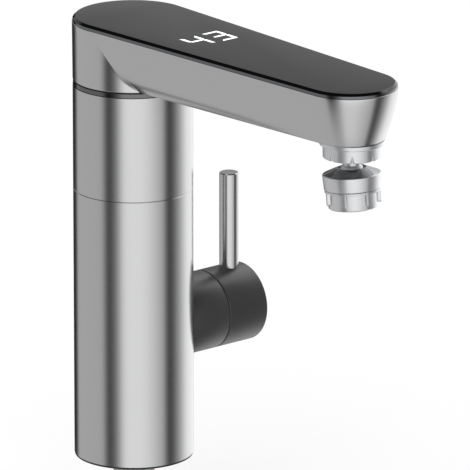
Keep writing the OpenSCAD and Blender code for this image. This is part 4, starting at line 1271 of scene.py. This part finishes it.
@dataclass
class Outlet(Assembly):
    """What hangs under the spout's end: the swivelling cap and the ribbed sleeve.

    Heights are measured from the ball's centre, along the nozzle's axis.
    """

    axis_y: float = -164.57
    ball_z: float = 181.0
    tilt: float = -5.3
    # The cap's profile from its mouth out, down and in: radius, height and rounding
    cap_profile: tuple[Flat, ...] = (
        (6.0, 3.51), (6.0, 3.65), (6.8, 3.85), (7.35, 3.9, 0.1), (14.05, 1.075, 0.45),
        (14.4, 0.55, 0.25), (13.9, -6.4, 0.2), (12.5, -6.4), (12.5, -1.5),
    )
    # Its socket round the ball, in degrees above the centre, and the liner's seat above that
    socket_r: float = 8.35
    socket_angles: Flat = (-10.3, -2.0, 6.0, 13.9)
    seat: tuple[Flat, ...] = ((6.655, 2.0), (6.3, 2.94))
    # Where its cone starts, and the inner and outer radius of the lip round the ball, which is
    # painted black as the shade of the gap at the mouth
    cone_low: float = 0.975
    lip: Flat = (5.9, 6.8)
    sleeve_top: float = -6.6
    sleeve_low: float = -16.0
    sleeve_r: float = 12.2
    sleeve_bore: float = 10.5
    sleeve_ease: float = 0.4
    bore_ease: float = 0.15
    rib_r: float = 13.7
    rib_w: float = 2.3
    rib_count: int = 7
    rib_turn: float = 5.1
    rib_stop: float = 2.2
    # Share of a rib's half width from which it has its full height
    rib_full: float = 0.35
    # Rows of a rib's round foot, and the degrees between them
    foot_rows: int = 8
    foot_step: float = 12.5
    foot_gap: float = 0.25
    # Columns on one side of a rib's middle: offset from its side, share of its height
    rib_side: tuple[Flat, ...] = (
        (0.5, 0.0), (0.12, 0.0), (0.02, 0.12), (-0.03, 0.8), (-0.2, 0.97), (-0.5, 1.0),
    )
    # Rows of the crown that joins the ribs: height from its lower edge, share of their height
    crown_h: float = 1.3
    crown_foot: tuple[Flat, ...] = ((-0.25, 0.0), (-0.08, 0.12), (0.05, 0.85), (0.2, 1.0))
    # The same for its upper edge
    crown_head: tuple[Flat, ...] = ((-0.25, 1.0), (-0.07, 0.95), (0.0, 0.83))
    spare_columns: int = 6

    def on_ball(self) -> Matrix:
        """Returns the matrix from the ball's own frame to the tap's."""
        place = Matrix.Translation((0, self.axis_y, self.ball_z))
        return place @ Matrix.Rotation(math.radians(self.tilt), 4, "X")

    def cap(self) -> None:
        """Builds the swivelling cap, its cone as turned and its lip painted dark as painted shade.
        """
        socket = [around(self.socket_r, math.radians(angle)) for angle in self.socket_angles]
        shape = turned([*self.cap_profile, *socket, *self.seat], sides=128)
        cap = shape.moved(self.on_ball()).piece("swivel_cap_shell", sharp=30.0)
        shared = self.wardrobe.materials
        # Painted shade: the dark plastic on the lip stands for the shadowed gap round the ball
        looks = shared["chrome"], self.wardrobe.own["swivel_cap"], shared["dark_plastic"]
        self.wardrobe.hand_over(cap, "chrome", "nozzle", "swivel_cap", *looks)
        back = self.on_ball().inverted()
        for face in cap.data.polygons:
            x, y, z = back @ (face.center / MM)
            r = math.hypot(x, y)
            if z >= self.cone_low and r >= self.lip[0]:
                face.material_index = 1 if r > self.lip[1] else 2

    def ring(self, z: float, crown: float) -> list[Flat]:
        """Finds the sleeve's outside at one height.

        Args:
            z: The height.
            crown: Share of the ribs' height that the sleeve has all round.

        Returns:
            The angle and radius of each column, which follow the ribs' sides.
        """
        half, rise, pitch = self.rib_w / 2, self.rib_r - self.sleeve_r, math.tau / self.rib_count
        drop = max(self.sleeve_low + self.rib_stop + half - z, 0.0)
        width = math.sqrt(max(half**2 - drop**2, 0.0))
        full = min(width / (self.rib_full * half), 1.0)
        body = self.sleeve_r - (self.sleeve_ease if z == self.sleeve_low else 0.0)
        side = [(max(width + off, 0.0) / self.rib_r, share * full) for off, share in self.rib_side]
        edge = (half + self.rib_side[0][0]) / self.sleeve_r
        columns = [(-off, share) for off, share in side] + [(0.0, full)] + side[::-1]
        columns += [
            (edge + (pitch - 2 * edge) * n / self.spare_columns, 0.0)
            for n in range(1, self.spare_columns)
        ]
        return [
            (math.radians(self.rib_turn) + k * pitch + off, body + rise * max(share, crown))
            for k in range(self.rib_count)
            for off, share in columns
        ]

    def sleeve(self) -> None:
        """Builds the ribbed spray sleeve as one turned grid whose columns follow the ribs."""
        half, low, top = self.rib_w / 2, self.sleeve_low, self.sleeve_top
        foot = low + self.rib_stop
        turns = (math.radians(self.foot_step * k) for k in range(self.foot_rows))
        heights = [(low, 0.0), (low + self.sleeve_ease, 0.0), (foot - self.foot_gap, 0.0)]
        heights += [(foot + half * (1 - math.cos(turn)), 0.0) for turn in turns]
        heights += [(top - self.crown_h + up, share) for up, share in self.crown_foot]
        heights += [(top + up, share) for up, share in self.crown_head]
        rings = [(z, self.ring(z, crown)) for z, crown in heights]
        inside = ((self.sleeve_bore, top), (self.sleeve_bore, low + self.bore_ease))
        inside += ((self.sleeve_bore + self.bore_ease, low),)
        rows = [[(*around(r, a), z) for a, _ in rings[0][1]] for r, z in inside]
        rows += [[(*around(r, a), z) for a, r in ring] for z, ring in rings]
        shape = Shape()
        numbers = shape.wrap(rows)
        shape.bridge(numbers[-1], numbers[0])
        sleeve = shape.moved(self.on_ball()).piece("ribbed_spray_sleeve", sharp=34.0)
        self.wardrobe.hand_over(sleeve, "chrome", "nozzle", "spray_sleeve")

    def build(self) -> None:
        """Builds and dresses the outlet's pieces."""
        self.cap()
        self.sleeve()


# --- Inlet ---


@dataclass
class Inlet(Assembly):
    """The threaded shank that hangs under the deck and brings the water in."""

    r: float = 10.48
    bore_r: float = 7.0
    low: float = -60.0
    top: float = 14.0
    chamfer: float = 1.0
    pitch: float = 1.814
    depth: float = 1.162
    crest: float = 0.1  # Share of the pitch that is flat, at the crest and at the root
    thread_top: float = -2.0
    fade: float = 2.5  # Length over which the thread runs out at its top
    groove: Flat = (-46.0, -43.5)  # Lower and upper edge of the groove in the thread
    groove_depth: float = 0.8
    columns: int = 72
    crest_rows: int = 12

    def radius(self, z: float, turn: float) -> float:
        """Finds the thread's surface.

        Args:
            z: The height.
            turn: The share of a full turn.

        Returns:
            The radius there: a rounded V thread that fades out under the foot.
        """
        phase = (z - self.low) / self.pitch - turn
        wave = abs(2 * (phase - math.floor(phase)) - 1)
        wave = min(max((wave - self.crest) / (1 - 2 * self.crest), 0.0), 1.0)
        share = min(max((self.thread_top - z) / self.fade, 0.0), 1.0)
        r = self.r - self.depth * share * wave
        if self.groove[0] < z < self.groove[1]:
            r = min(r, self.r - self.groove_depth)
        return min(r, self.r - self.chamfer + max(z - self.low, 0.0))

    def build(self) -> None:
        """Builds and dresses the shank, on a grid that climbs with its thread."""
        shape = Shape()
        turns = [i / self.columns for i in range(self.columns)]
        rows = math.ceil((self.thread_top + 1 - self.low) / self.pitch) * self.crest_rows
        grid = []
        for j in range(-self.crest_rows, rows + 1):
            row = []
            for turn in turns:
                climb = self.low + self.pitch * (j / self.crest_rows + turn)
                z = min(max(climb, self.low), self.thread_top)
                row.append((*around(self.radius(z, turn), math.tau * turn), z))
            grid.append(shape.row(row))
        for row, above in zip(grid, grid[1:]):
            shape.bridge(row, above, closed=False)
        # After a full turn, a row goes on in the one that started a pitch higher
        for j in range(len(grid) - self.crest_rows - 1):
            row, above = grid[j : j + 2]
            on, on_above = grid[j + self.crest_rows : j + self.crest_rows + 2]
            shape.faces.append((row[-1], on[0], on_above[0], above[-1]))
        foot = [self.radius(self.low, turn) for turn in turns]
        plain, hole = [self.r] * self.columns, [self.bore_r] * self.columns
        rings = ((plain, self.thread_top), (plain, self.top), (hole, self.top), (hole, self.low))
        shape.wrap(
            [
                [(*around(r, math.tau * turn), z) for r, turn in zip(radii, turns)]
                for radii, z in (*rings, (foot, self.low))
            ]
        )
        shank = shape.piece("threaded_inlet_shank", sharp=40.0)
        self.wardrobe.hand_over(shank, "pale_plastic", "root", "inlet_shank")


# --- Studio ---


@dataclass(frozen=True)
class Screen:
    """A softbox or a black flag round the object, as its shiny surfaces see it."""

    bearing: float  # Its middle in degrees, from the camera's side, positive to the camera's right
    half: float  # Half of its full-strength width in degrees
    left_fade: float  # Width of its soft left edge in degrees
    right_fade: float  # Width of its soft right edge in degrees
    level: float  # How bright it is, where 1 is white
    low: float = -100.0  # Elevation in degrees of its lower edge
    high: float = 100.0  # Elevation of its upper edge
    rise: float = 20.0  # Width of its soft lower and upper edges in degrees


@dataclass(frozen=True)
class Lamp:
    """A large soft disc of light: its name, place and width in metres, and power in watts."""

    name: str
    at: Point
    size: float
    watts: float


@dataclass
class Studio:
    """White surroundings with soft screens, a pale floor, lamps and the camera, in metres."""

    camera_at: Point = (-2.674463, -3.192890, 1.349717)
    forward: Point = (0.624483, 0.727358, -0.284556)
    right: Point = (0.7587, -0.6514, 0.0)
    lens: float = 666.3
    floor_drop: float = 0.0005
    floor_r: float = 3.0
    floor_light: float = 0.7
    fill: float = 0.62
    surround: float = 0.62
    aim: Point = (0, -0.07, 0.1)
    lights: tuple[Lamp, ...] = (
        Lamp("key_lamp", (-1.4, -1.2, 2.2), 1.6, 42.0),
        Lamp("far_lamp", (1.6, 0.6, 1.8), 1.8, 30.0),
    )
    screens: tuple[Screen, ...] = (
        Screen(-2, 6, 26, 60, 0.97, low=-55, rise=20),  # white table before the camera
        Screen(-2, 6, 26, 60, 1.2, low=-20, rise=14),  # large softbox beside the camera
        Screen(144, 14, 34, 20, 1.32),  # bright wall behind, right
        Screen(-47.5, 1.5, 16, 30, 0.05, low=-15, rise=45),  # black flag, left
        Screen(73, 2, 15, 34, 0.06),  # black flag, right
        Screen(-160, 16, 8, 14, 0.02, low=-18, rise=12),  # dark wall behind, left
        Screen(-150, 8, 14, 16, 0.08, low=-52, high=-30, rise=10),  # table edge, low behind
        Screen(-65, 105, 20, 30, 0.03, low=30, rise=14),  # dark ceiling over the camera
        Screen(80, 40, 20, 10, 0.03, low=50, rise=12),  # the same ceiling, high on the right
        Screen(155, 35, 14, 25, 2.0, low=40, high=72, rise=12),  # overhead softbox, behind right
        Screen(-150, 36, 6, 30, 0.40, low=10, high=24, rise=8),  # grey band above the far wall
        Screen(0, 180, 1, 1, 0.2, high=-66, rise=12),  # dim table straight below
    )

    def build(self) -> None:
        """Builds the surroundings, the floor, the lamps and the camera."""
        self.surroundings()
        self.floor()
        self.lamps()
        self.camera()

    def surroundings(self) -> None:
        """Draws the white world, and the screens that shiny surfaces see in it."""
        world = bpy.data.worlds.new("studio")
        bpy.context.scene.world = world
        tree = cleared(world)
        world.cycles.sampling_method = "NONE"
        direction = add(tree, "TexCoord", out="Generated")
        toward = -Vector((*self.forward[:2], 0)).normalized()
        across, ahead, up = (
            add(tree, "VectorMath", {0: direction, 1: axis}, "Value", operation="DOT_PRODUCT")
            for axis in (self.right, tuple(toward), (0, 0, 1))
        )
        turn = add(tree, "Math", {0: across, 1: ahead}, operation="ARCTAN2")
        lift = add(tree, "Math", {0: up}, operation="ARCSINE")
        bearing, height = (
            add(tree, "Math", {0: angle, 1: math.degrees(1)}, operation="MULTIPLY")
            for angle in (turn, lift)
        )
        level: NodeInput = self.surround
        for screen in self.screens:
            away = add(tree, "Math", {0: bearing, 1: screen.bearing}, operation="SUBTRACT")
            off = add(tree, "Math", {0: away, 1: 180.0, 2: -180.0}, operation="WRAP")
            share: NodeInput = 1.0
            for value, start, end in (
                (off, -screen.half - screen.left_fade, -screen.half),
                (off, screen.half + screen.right_fade, screen.half),
                (height, screen.low - screen.rise, screen.low),
                (height, screen.high + screen.rise, screen.high),
            ):
                ends = {"Value": value, "From Min": start, "From Max": end}
                edge = add(tree, "MapRange", ends, interpolation_type="SMOOTHSTEP")
                share = add(tree, "Math", {0: share, 1: edge}, operation="MULTIPLY")
            change = add(tree, "Math", {0: screen.level, 1: level}, operation="SUBTRACT")
            level = add(tree, "Math", {0: change, 1: share, 2: level}, operation="MULTIPLY_ADD")
        seen, glossy, through = (
            add(tree, "LightPath", out=ray)
            for ray in ("Is Camera Ray", "Is Glossy Ray", "Is Transmission Ray")
        )
        mirrored = add(tree, "Math", {0: glossy, 1: through}, operation="MAXIMUM")
        shiny, soft, white = (
            add(tree, "Background", {"Strength": strength, "Color": WHITE})
            for strength in (level, self.fill, 1.0)
        )
        lit = add(tree, "MixShader", {0: mirrored, 1: soft, 2: shiny})
        whole = add(tree, "MixShader", {0: seen, 1: lit, 2: white})
        add(tree, "OutputWorld", {"Surface": whole})

    def floor(self, sides: int = 64) -> None:
        """Lays the pale floor, which takes the soft shadow and is clear as seen from below.

        Args:
            sides: Sides that its rim is drawn with.
        """
        z = (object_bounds()[0][2] - self.floor_drop) / MM
        rim = [(*around(self.floor_r / MM, math.tau * k / sides), z) for k in range(sides)]
        floor = Shape(rim, [tuple(range(sides))]).piece("studio_floor")
        if floor.data.polygons[0].normal.z < 0:
            floor.data.flip_normals()
        material = bpy.data.materials.new("pale_floor")
        tree = cleared(material)
        paint = add(tree, "BsdfDiffuse", {"Color": linear("#E6E6E6")})
        white = add(tree, "Emission", {"Color": WHITE, "Strength": 1.0})
        seen = add(tree, "LightPath", out="Is Camera Ray")
        share = add(tree, "Math", {0: seen, 1: self.floor_light}, operation="MULTIPLY")
        mixed = add(tree, "MixShader", {0: share, 1: paint, 2: white})
        under = add(tree, "NewGeometry", out="Backfacing")
        sided = add(tree, "MixShader", {0: under, 1: mixed, 2: add(tree, "BsdfTransparent")})
        add(tree, "OutputMaterial", {"Surface": sided})
        floor.data.materials.append(material)
        floor.visible_glossy = False
        floor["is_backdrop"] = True

    def lamps(self) -> None:
        """Hangs two large soft lamps that give matt surfaces their shape."""
        for lamp in self.lights:
            light = bpy.data.lights.new(lamp.name, "AREA")
            light.shape, light.size, light.energy = "DISK", lamp.size, lamp.watts
            hung = bpy.data.objects.new(lamp.name, light)
            hung.location = lamp.at
            line = Vector(self.aim) - hung.location
            hung.rotation_euler = line.to_track_quat("-Z", "Y").to_euler()
            hung.visible_glossy = False
            bpy.context.collection.objects.link(hung)

    def camera(self) -> None:
        """Sets the camera where the photograph was taken from."""
        forward, right = Vector(self.forward).normalized(), Vector(self.right).normalized()
        data = bpy.data.cameras.new("studio_camera")
        data.sensor_width, data.lens = 36.0, self.lens
        data.clip_start, data.clip_end = 0.1, 60.0
        camera = bpy.data.objects.new("studio_camera", data)
        turn = Matrix((right, right.cross(forward), -forward)).transposed().to_4x4()
        camera.matrix_world = Matrix.Translation(self.camera_at) @ turn
        bpy.context.collection.objects.link(camera)
        bpy.context.scene.camera = camera


def main() -> None:
    """Loads the frame, sets up the studio, and builds and dresses every piece."""
    logging.basicConfig(level=logging.INFO, format="%(name)s: %(message)s")
    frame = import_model()
    bpy.context.scene.view_settings.view_transform = "Standard"
    Studio().build()
    wardrobe = Wardrobe(frame)
    log.info("dressed %d construction nodes", wardrobe.dress_nodes())
    for assembly in (SwivelRing, Spout, SideKnob, Outlet, Inlet):
        assembly(wardrobe).build()


if __name__ == "__main__":
    main()
